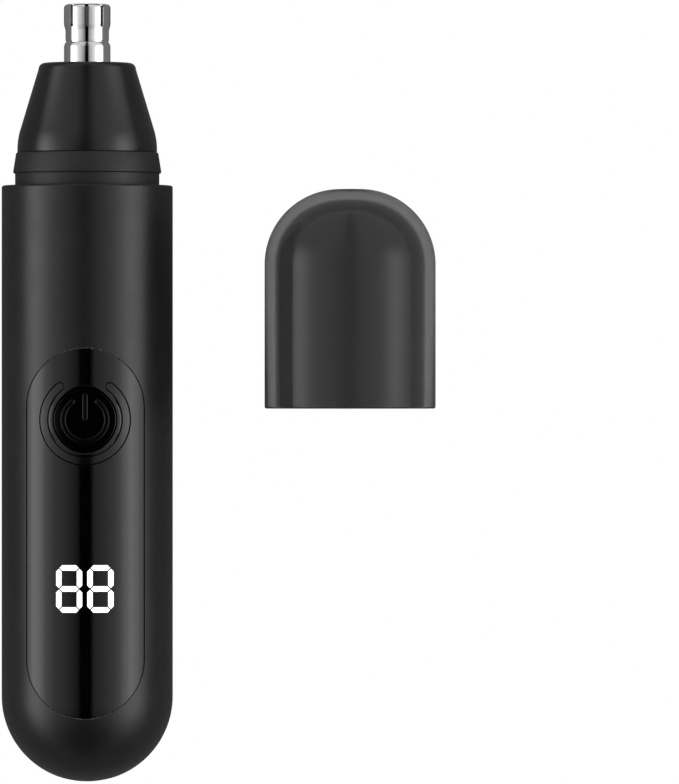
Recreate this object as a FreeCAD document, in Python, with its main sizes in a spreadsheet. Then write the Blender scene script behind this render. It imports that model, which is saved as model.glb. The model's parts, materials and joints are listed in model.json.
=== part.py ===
"""Nose hair trimmer with its protective cap taken off, as a parametric document.

Each piece is drawn upright: Z runs up the barrel from the tip of its dome end, and the front, where
the button and the display are, faces -Y.  Every finished piece is then laid on its back by its own
Placement, so that the head points along +Y and the front faces +Z.  The origin is on the barrel's
axis, in the middle of the plain stretch between the front panel and the shoulder.
"""
import FreeCAD, Part
import Sketcher
import math
import os

SIZES = [
    ("barrel_radius", 15.0, "outside of the barrel and of its dome end"),
    ("shoulder_height", 104.7, "dome tip to the flat shoulder under the collar"),
    ("shell_wall", 1.8, "thickness of the barrel shell"),
    ("shell_rim_round", 0.4, "rounding of the shoulder's outer edge"),
    ("panel_width", 20.4, "straight width of the glossy front panel"),
    ("panel_bottom", 11.7, "height of the panel's lower end"),
    ("panel_top", 76.1, "height of the panel's upper end"),
    ("panel_thick", 1.0, "thickness of the front panel"),
    ("panel_gap", 0.15, "gap all round the panel"),
    ("panel_ledge", 1.4, "width of the ledge that carries the panel"),
    ("button_height", 63.7, "height of the button's centre"),
    ("button_radius", 5.5, "radius of the button's face"),
    ("button_gap", 0.15, "gap round the button"),
    ("button_travel", 0.4, "how far the button goes in"),
    ("button_clear", 0.3, "height of the button's stem under its lip"),
    ("button_edge", 0.25, "rounding of the button's edge"),
    ("button_stem", 1.9, "radius of the button's stem"),
    ("button_lip", 0.5, "width of the lip that keeps the button in"),
    ("button_lip_thick", 0.6, "thickness of that lip"),
    ("button_lip_gap", 0.15, "gap between the lip and the back of the panel"),
    ("dish_width", 0.8, "width of the dish round the button"),
    ("dish_sunk", 0.1, "depth of the button's flat face under the panel beside it"),
    ("symbol_radius", 3.8, "middle radius of the power symbol's arc"),
    ("symbol_line", 0.9, "width of the power symbol's lines"),
    ("symbol_open", 35.0, "half angle of the opening in the symbol's arc"),
    ("symbol_bar_top", 4.6, "top of the symbol's bar above the button's centre"),
    ("symbol_depth", 0.3, "depth of the symbol's inlay"),
    ("symbol_proud", 0.05, "height of the symbol above the button's face"),
    ("ring_margin", 0.2, "plain panel between the dish and the light ring"),
    ("ring_line", 1.36, "width of the light ring"),
    ("ring_open", 37.0, "half angle of the opening in the light ring"),
    ("ring_gap", 0.08, "gap round the light ring"),
    ("display_height", 34.3, "height of the middle of the digits"),
    ("digit_width", 4.56, "width of one digit"),
    ("digit_tall", 8.25, "height of one digit"),
    ("digit_pitch", 5.44, "distance between the two digits"),
    ("segment_line", 0.95, "width of one bar of a digit"),
    ("segment_gap", 0.13, "gap between the bars of a digit, along a bar"),
    ("display_margin", 0.9, "wall of the display housing round the digits"),
    ("board_thick", 1.2, "thickness of the circuit board"),
    ("board_edge", 0.79, "gap between the circuit board's edges and the shell"),
    ("board_bottom", 23.0, "lower end of the circuit board"),
    ("board_top", 74.0, "upper end of the circuit board"),
    ("switch_side", 6.0, "side of the push switch"),
    ("switch_tall", 3.3, "height of the push switch"),
    ("switch_wall", 0.7, "wall of the push switch"),
    ("plunger_radius", 1.7, "radius of the switch's plunger"),
    ("plunger_proud", 0.7, "how far the plunger stands out of the switch"),
    ("plunger_gap", 0.06, "gap between the plunger and the switch"),
    ("port_width", 8.94, "width of the charging socket"),
    ("port_thick", 3.26, "thickness of the charging socket"),
    ("port_deep", 7.3, "length of the charging socket"),
    ("port_wall", 0.3, "wall of the charging socket"),
    ("port_sunk", 0.9, "height of the socket's mouth above the dome tip"),
    ("gasket_wall", 0.8, "wall of the rubber gasket round the socket"),
    ("tongue_width", 6.7, "width of the socket's tongue"),
    ("tongue_thick", 0.7, "thickness of the socket's tongue"),
    ("charge_board_width", 12.0, "width of the charging board"),
    ("charge_board_top", 24.0, "upper end of the charging board"),
    ("cell_radius", 7.0, "radius of the battery cell"),
    ("cell_tall", 43.0, "length of the battery cell"),
    ("cell_bottom", 25.0, "lower end of the battery cell"),
    ("cell_wall", 1.15, "wall of the inner frame behind the cell"),
    ("cell_gap", 0.1, "gap between the cell and the frame"),
    ("tab_thick", 0.3, "thickness of the cell's contact tabs"),
    ("tab_width", 4.0, "width of the cell's contact tabs"),
    ("frame_gap", 0.15, "gap between the inner frame and the shell"),
    ("frame_bottom", 22.0, "lower end of the inner frame"),
    ("frame_rib", 2.0, "thickness of the frame's cross ribs"),
    ("motor_radius", 8.0, "radius of the motor"),
    ("motor_bottom", 77.0, "lower end of the motor's steel can"),
    ("motor_top", 98.5, "upper face of the motor's steel can"),
    ("motor_wall", 0.8, "wall of the motor's can"),
    ("motor_gap", 0.1, "gap between the motor and the frame"),
    ("magnet_thick", 1.5, "thickness of the motor's magnets"),
    ("armature_gap", 0.35, "gap between the armature and the magnets"),
    ("armature_bottom", 82.0, "lower end of the armature core"),
    ("armature_top", 93.0, "upper end of the armature core"),
    ("end_cap_thick", 2.5, "thickness of the motor's end cap"),
    ("shaft_radius", 1.0, "radius of the motor shaft"),
    ("shaft_gap", 0.05, "running gap round the motor shaft"),
    ("bush_radius", 2.5, "outer radius of the motor's bushes"),
    ("bush_tall", 2.0, "length of the motor's bushes"),
    ("commutator_radius", 2.0, "radius of the commutator"),
    ("screw_pitch", 10.0, "distance between the two motor screws"),
    ("screw_radius", 0.9, "radius of the motor screws"),
    ("screw_head", 1.7, "radius of the motor screws' heads"),
    ("lamp_side", 1.2, "side of the small lamps"),
    ("lamp_tall", 1.0, "height of the small lamps"),
    ("lamp_gap", 0.1, "gap between the lamps and the light ring"),
    ("chip_tall", 1.1, "height of the chips"),
    ("foam_width", 8.0, "width of the battery's foam pad"),
    ("foam_end", 6.0, "foam pad short of the cell's ends"),
    ("foam_gap", 0.2, "gap between the foam pad and the board"),
    ("terminal_bay", 12.0, "width of the frame's bay for the motor's terminals"),
    ("terminal_room", 2.4, "height of that bay below the motor"),
    ("terminal_pitch", 9.0, "distance between the motor's terminals"),
    ("terminal_thick", 0.3, "thickness of the terminals"),
    ("terminal_width", 2.0, "width of the terminals"),
    ("terminal_out", 2.0, "terminals below the motor"),
    ("brush_width", 1.2, "width of the brushes"),
    ("brush_tall", 1.5, "height of the brushes"),
    ("brush_step", 0.1, "brushes and commutator above the end cap"),
    ("magnet_split", 5.0, "width of the gaps between the magnets"),
    ("magnet_over", 1.0, "magnets beyond the armature at each end"),
    ("pole_stem", 1.4, "width of the armature's arms"),
    ("pole_slot", 2.6, "half width of the armature's winding slots"),
    ("pole_hub", 1.2, "wall between the shaft and the winding slots"),
    ("pole_shoe", 0.8, "thickness of the armature's outer shoes"),
    ("coil_width", 5.0, "width of a winding"),
    ("coil_over", 0.8, "windings beyond the armature at each end"),
    ("coil_gap", 0.1, "gap between a winding and its shoe"),
    ("coupling_deep", 3.0, "depth of the shaft in the coupling"),
    ("screw_grip", 2.0, "motor screws below the motor's front"),
    ("screw_head_tall", 1.2, "height of the motor screws' heads"),
    ("screw_drive", 0.4, "width of the slots in the screws' heads"),
    ("screw_drive_long", 2.4, "length of those slots"),
    ("screw_drive_deep", 0.6, "depth of those slots"),
    ("floor_thick", 2.2, "thickness of the collar's floor over the motor"),
    ("plug_gap", 0.1, "gap between the collar's plug and the shell"),
    ("seal_section", 0.6, "radius of the sealing ring's section"),
    ("seal_gap", 0.05, "gap between the sealing ring, its groove and the shell"),
    ("seal_drop", 3.0, "sealing ring below the shoulder"),
    ("neck_radius", 12.65, "radius of the neck above the shoulder"),
    ("neck_tall", 2.1, "height of the neck"),
    ("collar_radius", 13.0, "radius of the collar at its widest"),
    ("collar_top_radius", 12.5, "radius of the collar at its top edge"),
    ("collar_tall", 3.7, "height of the tapered collar"),
    ("collar_bore", 10.5, "radius of the collar's bore"),
    ("head_gap", 0.08, "gap between the head's spigot and the collar"),
    ("spigot_deep", 5.0, "how far the head's spigot reaches into the collar"),
    ("cone_radius", 12.25, "radius of the head cone at its base"),
    ("cone_knee_radius", 11.85, "radius where the cone's straight side begins"),
    ("cone_knee", 3.6, "height of that point above the cone's base"),
    ("cone_bend", 12.5, "radius of the curve at the cone's base"),
    ("cone_top_radius", 8.55, "radius where the cone's side meets its top rounding"),
    ("cone_side_tall", 14.6, "height of that point above the cone's base"),
    ("cone_tall", 15.7, "height of the cone's flat top above its base"),
    ("cone_round", 1.1, "rounding of the cone's top edge"),
    ("cone_flat_radius", 7.5, "radius of the cone's flat top"),
    ("cone_wall", 1.4, "wall of the head cone"),
    ("tube_radius", 4.08, "outside of the cutter's lower sleeve"),
    ("tube_tall", 10.3, "height of the cutter tube above the cone's top"),
    ("waist_depth", 0.26, "depth of the cutter's waist"),
    ("seam_depth", 0.12, "depth of the seam groove at the waist's foot"),
    ("seam_tall", 0.2, "height of that groove"),
    ("sleeve_tall", 2.85, "height of the lower sleeve above the cone"),
    ("sleeve_slope", 0.8, "height of the sleeve's sloping shoulder"),
    ("flare_bottom", 5.6, "height above the cone where the slotted crown begins"),
    ("flare_slope", 1.1, "height over which the waist opens to the crown"),
    ("crown_round", 0.7, "rounding of the crown's top edge"),
    ("tube_wall", 0.35, "wall of the cutter tube"),
    ("flange_radius", 5.6, "radius of the cutter tube's flange inside the cone"),
    ("flange_thick", 0.6, "thickness of that flange"),
    ("slot_width", 0.62, "width of the cutter's slots"),
    ("slot_tall", 4.0, "height of the slots from the crown's top"),
    ("slot_inner", 2.2, "radius where the slots end on the crown's top"),
    ("slot_count", 9, "number of slots"),
    ("blade_gap", 0.12, "gap between the turning blades and the tube"),
    ("blade_thick", 0.5, "thickness of a blade"),
    ("blade_bottom", 3.6, "lower edge of the blades above the cone's top"),
    ("spindle_radius", 1.6, "radius of the blade spindle"),
    ("spindle_gap", 0.06, "running gap between the spindle and its bush"),
    ("guide_bush_radius", 2.7, "outer radius of the spindle's bush"),
    ("retainer_thick", 1.6, "thickness of the retainer under the cutter's flange"),
    ("socket_radius", 3.4, "radius of the spindle's drive socket"),
    ("socket_tall", 5.0, "height of the spindle's drive socket"),
    ("tang_width", 4.0, "width of the coupling's flat tang"),
    ("tang_thick", 1.6, "thickness of the coupling's flat tang"),
    ("tang_tall", 3.0, "height of the coupling's flat tang"),
    ("tang_gap", 0.2, "gap round the tang in its socket"),
    ("coupling_radius", 3.0, "radius of the drive coupling"),
    ("coupling_tall", 4.0, "height of the drive coupling below its tang"),
    ("spindle_collar", 1.2, "thickness of the collar that the cutter spring pushes on"),
    ("spring_wire", 0.25, "radius of the cutter spring's wire"),
    ("spring_radius", 2.4, "middle radius of the cutter spring"),
    ("spring_turns", 3.5, "turns of the cutter spring"),
    ("wire_radius", 0.55, "radius of the insulated wires"),
    ("cap_wall", 1.8, "wall of the protective cap"),
    ("cap_tall", 38.5, "height of the protective cap"),
    ("cap_gap", 0.2, "gap between the cap and the collar"),
    ("cap_round", 13.2, "rounding of the cap's closed end"),
    ("cap_roof", 1.8, "thickness of the cap's closed end"),
    ("cap_across", 46.1, "distance of the cap's axis beside the barrel's"),
    ("cap_mouth_height", 65.6, "where the cap's mouth lies along the barrel"),
]

# Sizes that several pieces share, each worked out from the sheet.
SHELL_BORE = "(dim.barrel_radius - dim.shell_wall)"
PANEL_BACK = "(dim.barrel_radius - dim.panel_thick)"
BUTTON_HOLE = "(dim.button_radius + dim.button_gap)"
BUTTON_FACE = f"(sqrt(dim.barrel_radius ^ 2 - {BUTTON_HOLE} ^ 2) - dim.dish_sunk)"
DISH_RADIUS = "(dim.button_radius + dim.dish_width)"
RING_RADIUS = f"({DISH_RADIUS} + dim.ring_margin + dim.ring_line / 2)"
LIP_RADIUS = "(dim.button_radius + dim.button_lip)"
LIP_FRONT = f"(sqrt({PANEL_BACK} ^ 2 - {LIP_RADIUS} ^ 2) - dim.button_lip_gap)"
LIP_BACK = f"({LIP_FRONT} - dim.button_lip_thick)"
PLUNGER_FRONT = f"({LIP_BACK} - dim.button_clear)"
SWITCH_FRONT = f"({PLUNGER_FRONT} - dim.plunger_proud)"
BOARD_FRONT = f"({SWITCH_FRONT} - dim.switch_tall)"
ORIGIN_HEIGHT = "((dim.panel_top + dim.shoulder_height) / 2)"
BOARD_BACK = f"({BOARD_FRONT} - dim.board_thick)"
BOARD_HALF = f"(sqrt({SHELL_BORE} ^ 2 - {BOARD_FRONT} ^ 2) - dim.board_edge)"
FRAME_RADIUS = f"({SHELL_BORE} - dim.frame_gap)"
CELL_BACK = f"({FRAME_RADIUS} - dim.cell_wall - dim.cell_gap - dim.cell_radius)"
CELL_TOP = "(dim.cell_bottom + dim.cell_tall)"
MAGNET_INNER = "(dim.motor_radius - dim.motor_wall - dim.magnet_thick)"
ARMATURE_RADIUS = f"({MAGNET_INNER} - dim.armature_gap)"
FLOOR_TOP = "(dim.motor_top + dim.floor_thick)"
NECK_TOP = "(dim.shoulder_height + dim.neck_tall)"
CONE_BASE = "(dim.shoulder_height + dim.neck_tall + dim.collar_tall)"
CONE_TOP = f"({CONE_BASE} + dim.cone_tall)"
TUBE_TOP = f"({CONE_TOP} + dim.tube_tall)"
WAIST_RADIUS = "(dim.tube_radius - dim.waist_depth)"
TUBE_BORE = f"({WAIST_RADIUS} - dim.tube_wall)"
CROWN_RADIUS = "dim.tube_radius"
FLANGE_TOP = f"({CONE_TOP} - dim.cone_wall)"
RETAINER_TOP = f"({FLANGE_TOP} - dim.flange_thick)"
RETAINER_BOTTOM = f"({RETAINER_TOP} - dim.retainer_thick)"
COUPLING_BOTTOM = f"({FLOOR_TOP} + dim.head_gap + 1)"
TANG_BOTTOM = f"({COUPLING_BOTTOM} + dim.coupling_tall)"
SOCKET_BOTTOM = f"({TANG_BOTTOM} + dim.tang_gap)"
SOCKET_TOP = f"({SOCKET_BOTTOM} + dim.socket_tall)"
POCKET_RADIUS = "(dim.cone_top_radius - dim.cone_wall)"
BLADE_BOTTOM = f"({CONE_TOP} + dim.blade_bottom)"
BLADE_TOP = f"({TUBE_TOP} - dim.tube_wall - dim.blade_gap)"
SPRING_BOTTOM = f"({RETAINER_TOP} + dim.tang_gap)"
SPRING_TOP = f"({BLADE_BOTTOM} - dim.spindle_collar)"
CAP_BORE = "(dim.collar_radius + dim.cap_gap)"
CAP_RADIUS = f"({CAP_BORE} + dim.cap_wall)"

PLANES = {"front": "XZ_Plane", "top": "XY_Plane", "side": "YZ_Plane"}

doc = FreeCAD.newDocument("nose_hair_trimmer")
dim = doc.addObject("Spreadsheet::Sheet", "dim")
nodes = {}


def fill_sheet():
    """Write the driving sizes to the sheet, one row each."""
    for row, (name, size, note) in enumerate(SIZES, start=1):
        dim.set(f"A{row}", name)
        dim.set(f"B{row}", str(size))
        dim.set(f"C{row}", note)
        dim.setAlias(f"B{row}", name)
    doc.recompute()


def number(text):
    """The value that an expression has now."""
    found = dim.evalExpression(str(text))
    return float(getattr(found, "Value", found))


def node(piece, label, place="trimmer"):
    """Name a finished piece and lay it down with the trimmer or with the cap."""
    piece.Label = label
    piece.Placement = FreeCAD.Placement(FreeCAD.Vector(), FreeCAD.Rotation(FreeCAD.Vector(1, 0, 0), -90))
    if place == "trimmer":
        piece.setExpression("Placement.Base.y", f"-{ORIGIN_HEIGHT}")
    else:
        piece.setExpression("Placement.Base.x", "dim.cap_across")
        piece.setExpression("Placement.Base.y", f"dim.cap_mouth_height - {ORIGIN_HEIGHT}")
    nodes[label] = piece
    return piece


def plane_of(body, view):
    """One of a body's own origin planes."""
    return next(item for item in body.Origin.OriginFeatures if item.Role == PLANES[view])


def new_sketch(body, view, low="0"):
    """A sketch on a plane of the body, moved along the plane's normal to low."""
    sketch = body.newObject("Sketcher::SketchObject", "outline")
    sketch.AttachmentSupport = (plane_of(body, view), [""])
    sketch.MapMode = "FlatFace"
    sketch.setExpression("AttachmentOffset.Base.z", str(low))
    return sketch


def pin_point(sketch, edge, end, across, up):
    """Bind one point of a sketch to its two sizes."""
    first = sketch.addConstraint(Sketcher.Constraint("DistanceX", -1, 1, edge, end, number(across)))
    sketch.setExpression(f"Constraints[{first}]", str(across))
    second = sketch.addConstraint(Sketcher.Constraint("DistanceY", -1, 1, edge, end, number(up)))
    sketch.setExpression(f"Constraints[{second}]", str(up))


def arc_between(start, end, radius):
    """The arc of a radius from start to end; a positive radius has its centre on the left."""
    middle = (start + end) * 0.5
    chord = end - start
    left = FreeCAD.Vector(-chord.y, chord.x, 0).normalize()
    away = math.sqrt(max(radius ** 2 - (chord.Length / 2) ** 2, 0.0))
    centre = middle + left * math.copysign(away, radius)
    first, last = (start, end) if radius > 0 else (end, start)
    angles = [math.atan2(point.y - centre.y, point.x - centre.x) for point in (first, last)]
    circle = Part.Circle(centre, FreeCAD.Vector(0, 0, 1), abs(radius))
    return Part.ArcOfCircle(circle, angles[0], angles[1])


def draw_loop(sketch, corners):
    """A closed outline.  A corner is (across, up) or, where an arc ends, (across, up, radius)."""
    points = [FreeCAD.Vector(number(corner[0]), number(corner[1]), 0) for corner in corners]
    edges = []
    for index, corner in enumerate(corners):
        start = points[index - 1]
        radius = number(corner[2]) if len(corner) == 3 else 0.0
        if radius:
            edge = sketch.addGeometry(arc_between(start, points[index], radius), False)
            edges.append((edge, 1, 2) if radius > 0 else (edge, 2, 1))
        else:
            edge = sketch.addGeometry(Part.LineSegment(start, points[index]), False)
            edges.append((edge, 1, 2))
    for index, (edge, _, end) in enumerate(edges):
        following, start, _ = edges[(index + 1) % len(edges)]
        sketch.addConstraint(Sketcher.Constraint("Coincident", edge, end, following, start))
    for (edge, _, end), corner in zip(edges, corners):
        pin_point(sketch, edge, end, corner[0], corner[1])
        if len(corner) == 3:
            size = sketch.addConstraint(Sketcher.Constraint("Radius", edge, abs(number(corner[2]))))
            sketch.setExpression(f"Constraints[{size}]", f"abs({corner[2]})")


def draw_circle(sketch, radius, across="0", up="0"):
    """A circle bound to its radius and its centre."""
    centre = FreeCAD.Vector(number(across), number(up), 0)
    edge = sketch.addGeometry(Part.Circle(centre, FreeCAD.Vector(0, 0, 1), number(radius)), False)
    size = sketch.addConstraint(Sketcher.Constraint("Radius", edge, number(radius)))
    sketch.setExpression(f"Constraints[{size}]", str(radius))
    pin_point(sketch, edge, 3, across, up)


def draw(sketch, shapes):
    """Draw outlines and circles; a circle is ("circle", radius, across, up)."""
    for shape in shapes:
        if shape[0] == "circle":
            draw_circle(sketch, *shape[1:])
        else:
            draw_loop(sketch, shape)


def box(low_across, low_up, high_across, high_up):
    """The four corners of a rectangle."""
    return [(low_across, low_up), (high_across, low_up), (high_across, high_up), (low_across, high_up)]


def slot(half_width, low, high):
    """An upright outline with half-round ends, given its half width and its two tips."""
    left, right = f"-({half_width})", f"({half_width})"
    lower, upper = f"({low} + {half_width})", f"({high} - {half_width})"
    return [(left, lower), ("0", low, half_width), (right, lower, half_width),
            (right, upper), ("0", high, half_width), (left, upper, half_width)]


def flat_slot(half_wide, half_thick):
    """A lying outline with half-round ends, centred, for the charging socket."""
    left, right = f"-({half_wide} - {half_thick})", f"({half_wide} - {half_thick})"
    low, high = f"-({half_thick})", f"({half_thick})"
    return [(left, low), (right, low), (f"({half_wide})", "0", half_thick), (right, high, half_thick),
            (left, high), (f"-({half_wide})", "0", half_thick), (left, low, half_thick)][1:]


def open_ring(radius, line, half_open, centre_up):
    """A C-shaped outline with round ends, open at its top by half_open degrees each way."""
    across, up = f"sin({half_open} * 1 deg)", f"cos({half_open} * 1 deg)"
    half = f"({line} / 2)"
    outer, inner = f"({radius} + {half})", f"({radius} - {half})"
    tip_x = f"({radius} * {across} - {half} * {up})"
    tip_y = f"({centre_up} + {radius} * {up} + {half} * {across})"
    return [(f"{inner} * {across}", f"{centre_up} + {inner} * {up}"),
            (inner, centre_up, f"-{inner}"),
            ("0", f"{centre_up} - {inner}", f"-{inner}"),
            (f"-{inner}", centre_up, f"-{inner}"),
            (f"-{inner} * {across}", f"{centre_up} + {inner} * {up}", f"-{inner}"),
            (f"-{tip_x}", tip_y, half),
            (f"-{outer} * {across}", f"{centre_up} + {outer} * {up}", half),
            (f"-{outer}", centre_up, outer),
            ("0", f"{centre_up} - {outer}", outer),
            (outer, centre_up, outer),
            (f"{outer} * {across}", f"{centre_up} + {outer} * {up}", outer),
            (tip_x, tip_y, half),
            (f"{inner} * {across}", f"{centre_up} + {inner} * {up}", half)][1:]


def new_body(label):
    """An empty part design body."""
    body = doc.addObject("PartDesign::Body", label)
    body.AllowCompound = True
    return body


def pad(label, view, shapes, low, high, body=None):
    """Solid between low and high along the plane's normal: front is -Y, top is +Z, side is +X."""
    body = body or new_body(label)
    sketch = new_sketch(body, view, low)
    draw(sketch, shapes)
    feature = body.newObject("PartDesign::Pad", label + "_pad")
    feature.Profile = sketch
    feature.setExpression("Length", f"({high}) - ({low})")
    return body


def pocket(body, view, shapes, low, high):
    """Cut the body between low and high along the plane's normal."""
    sketch = new_sketch(body, view, low)
    draw(sketch, shapes)
    feature = body.newObject("PartDesign::Pocket", "cut")
    feature.Profile = sketch
    feature.Reversed = True
    feature.setExpression("Length", f"({high}) - ({low})")
    return feature


def turn(label, corners, body=None, about="top", height="0"):
    """A turned solid: about the barrel's axis, or about the front-back line through height."""
    body = body or new_body(label)
    sketch = new_sketch(body, "front" if about == "top" else "top", "0" if about == "top" else height)
    draw(sketch, [corners])
    feature = body.newObject("PartDesign::Revolution", label + "_turn")
    feature.Profile = sketch
    feature.ReferenceAxis = (sketch, ["V_Axis"])
    feature.Angle = 360
    return body


def groove(body, corners):
    """Cut a turned groove about the barrel's axis."""
    sketch = new_sketch(body, "front")
    draw(sketch, [corners])
    feature = body.newObject("PartDesign::Groove", "groove")
    feature.Profile = sketch
    feature.ReferenceAxis = (sketch, ["V_Axis"])
    feature.Angle = 360
    return feature


def ring(label, inner, outer, low, high):
    """A plain turned ring or, with inner 0, a rod."""
    return turn(label, box(inner, low, outer, high))


def polar(body, feature, count):
    """Repeat a feature round the barrel's axis."""
    doc.recompute()
    pattern = body.newObject("PartDesign::PolarPattern", "round_pattern")
    pattern.Originals = [feature]
    axis = next(item for item in body.Origin.OriginFeatures if item.Role == "Z_Axis")
    pattern.Axis = (axis, [""])
    pattern.Angle = 360
    pattern.setExpression("Occurrences", str(count))
    body.Tip = pattern
    return pattern


def join(label, kind, base, *tools):
    """A boolean of finished shapes: Cut, Fuse or Common."""
    if kind == "Cut":
        result = doc.addObject("Part::Cut", label)
        result.Base = base
        result.Tool = tools[0] if len(tools) == 1 else join(label + "_tools", "Fuse", *tools)
        return result
    result = doc.addObject("Part::Multi" + kind, label)
    result.Shapes = [base, *tools]
    return result


def group(label, *pieces):
    """Separate solids that share one node."""
    result = doc.addObject("Part::Compound", label)
    result.Links = list(pieces)
    return result


def barrel_form(label, inset, top):
    """The barrel with its half-round end, drawn inside the outer skin by inset."""
    radius = f"(dim.barrel_radius - {inset})"
    return turn(label, [("0", inset), (radius, "dim.barrel_radius", radius), (radius, top), ("0", top)])


# ---- handle: shell, panel and what shows through it --------------------------------------------

def stadium(gap):
    """The panel's outline, grown or shrunk by a gap."""
    half = f"(dim.panel_width / 2 + {gap})"
    return slot(half, f"(dim.panel_bottom - {gap})", f"(dim.panel_top + {gap})")


def body_shell():
    """Deep tube with a dome end, a recess and a window for the panel, and a hole for the socket."""
    skin = turn("shell_skin", [
        ("0", "0"), ("dim.barrel_radius", "dim.barrel_radius", "dim.barrel_radius"),
        ("dim.barrel_radius", "dim.shoulder_height - dim.shell_rim_round"),
        ("dim.barrel_radius - dim.shell_rim_round", "dim.shoulder_height", "dim.shell_rim_round"),
        (SHELL_BORE, "dim.shoulder_height"), (SHELL_BORE, "dim.barrel_radius"),
        ("0", "dim.shell_wall", f"-{SHELL_BORE}")])
    half_wide = "(dim.port_width / 2 + dim.gasket_wall)"
    half_thick = "(dim.port_thick / 2 + dim.gasket_wall)"
    pocket(skin, "top", [flat_slot(half_wide, half_thick)], "-1", "dim.shell_wall * 3")
    window = pad("window", "front", [stadium("(-dim.panel_ledge)")], "3", "dim.barrel_radius + 1")
    seat = pad("seat_outline", "front", [stadium("dim.panel_gap")], "3", "dim.barrel_radius + 1")
    seat_floor = barrel_form("seat_floor", "dim.panel_thick", "dim.shoulder_height")
    recess = join("panel_recess", "Cut", seat, seat_floor)
    relief = pad("ring_relief", "front", [ring_outline("dim.ring_gap")], "3", "dim.barrel_radius + 1")
    return node(join("shell_cut", "Cut", skin, recess, window, relief), "body_shell")


def panel_skin(label, outline, back, inset, *thicker):
    """A piece flush with the barrel's surface, cut at an inner form except where it is thicker."""
    prism = pad(label + "_prism", "front", outline, back, "dim.barrel_radius + 1")
    outside = barrel_form(label + "_outside", "0", "dim.shoulder_height")
    inside = barrel_form(label + "_inside", inset, "dim.shoulder_height")
    if thicker:
        inside = join(label + "_room", "Cut", inside, *thicker)
    return join(label + "_skin", "Cut", join(label + "_flush", "Common", prism, outside), inside)


def segment(across, up, length, upright):
    """One six-sided bar of a digit, from its centre."""
    half = f"({length} / 2 - dim.segment_gap)"
    wide = "(dim.segment_line / 2)"
    shoulder = f"({half} - {wide})"
    ends = [(f"-{half}", "0"), (f"-{shoulder}", f"-{wide}"), (shoulder, f"-{wide}"),
            (half, "0"), (shoulder, wide), (f"-{shoulder}", wide)]
    if upright:
        ends = [(f"-({second})", first) for first, second in ends]
    return [(f"{across} + {first}", f"{up} + {second}") for first, second in ends]


def digit_outlines():
    """The fourteen bars of the two digits."""
    bars = []
    span = "(dim.digit_width - dim.segment_line)"
    rise = "((dim.digit_tall - dim.segment_line) / 2)"
    for side in ("-", ""):
        middle = f"{side}dim.digit_pitch / 2"
        for step in (-1, 0, 1):
            bars.append(segment(middle, f"dim.display_height + {step} * {rise}", span, False))
        for left in (-1, 1):
            for half in (-1, 1):
                bars.append(segment(f"{middle} + {left} * {span} / 2",
                                    f"dim.display_height + {half} * {rise} / 2", rise, True))
    return bars


def ring_outline(gap):
    """The light ring's outline, grown by a gap."""
    return open_ring(RING_RADIUS, f"(dim.ring_line + 2 * {gap})", "dim.ring_open", "dim.button_height")


def front_panel():
    """Curved glossy cover with a dished well for the button, a C slot and the digits' windows."""
    well = pad("well", "front", [("circle", RING_RADIUS, "0", "dim.button_height")],
               f"{LIP_FRONT} + dim.button_lip_gap", "dim.barrel_radius + 1")
    blank = panel_skin("panel", [stadium("0")], "3", "dim.panel_thick", well)
    hole = ("circle", BUTTON_HOLE, "0", "dim.button_height")
    openings = pad("panel_hole", "front", [hole], "3", "dim.barrel_radius + 1")
    slot_cut = pad("ring_slot", "front", [ring_outline("dim.ring_gap")], "3", "dim.barrel_radius + 1")
    digits = pad("digit_windows", "front", digit_outlines(), "3", "dim.barrel_radius + 1")
    dish = turn("dish", [("0", f"-{BUTTON_FACE}"), (BUTTON_HOLE, f"-{BUTTON_FACE}"),
                         (f"{DISH_RADIUS} + 0.1", "-dim.barrel_radius - 0.2", "-(dim.dish_width * 1.5)"),
                         ("0", "-dim.barrel_radius - 0.2")],
                about="front", height="dim.button_height")
    node(join("panel_cut", "Cut", blank, openings, slot_cut, digits, dish), "front_panel")


def light_ring():
    """C-shaped light guide, flush with the panel and reaching back to the lamps on the board."""
    prism = pad("ring_prism", "front", [ring_outline("0")],
                f"{BOARD_FRONT} + dim.lamp_tall + dim.lamp_gap", "dim.barrel_radius + 1")
    outside = barrel_form("ring_outside", "0", "dim.shoulder_height")
    node(join("ring_flush", "Common", prism, outside), "light_ring")


def display_segments():
    """Fourteen clear bars that fill the windows of the digits."""
    node(panel_skin("digits", digit_outlines(), "3", "dim.panel_thick"), "display_segments")


def display_housing():
    """Moulded block behind the digits, with its front curved to the panel's back."""
    half = "((dim.digit_pitch + dim.digit_width) / 2 + dim.display_margin)"
    rise = "(dim.digit_tall / 2 + dim.display_margin)"
    outline = box(f"-{half}", f"dim.display_height - {rise}", half, f"dim.display_height + {rise}")
    block = pad("display_block", "front", [outline], BOARD_FRONT, "dim.barrel_radius")
    inner = barrel_form("display_limit", "dim.panel_thick", "dim.shoulder_height")
    node(join("display_common", "Common", block, inner), "display_housing")


# ---- handle: electronics -----------------------------------------------------------------------

def circuit_board():
    """Flat board behind the panel."""
    outline = box(f"-{BOARD_HALF}", "dim.board_bottom", BOARD_HALF, "dim.board_top")
    node(pad("board", "front", [outline], BOARD_BACK, BOARD_FRONT), "circuit_board")


def board_chips():
    """Charging chip, controller and coil on the front of the board."""
    chips = box("-2", "43", "2", "47")
    coil = ("circle", "2", "5.5", "49")
    charger = box("-7", "42", "-4", "45")
    node(pad("chips", "front", [chips, coil, charger], BOARD_FRONT,
             f"{BOARD_FRONT} + dim.chip_tall"), "board_chips")


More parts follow.
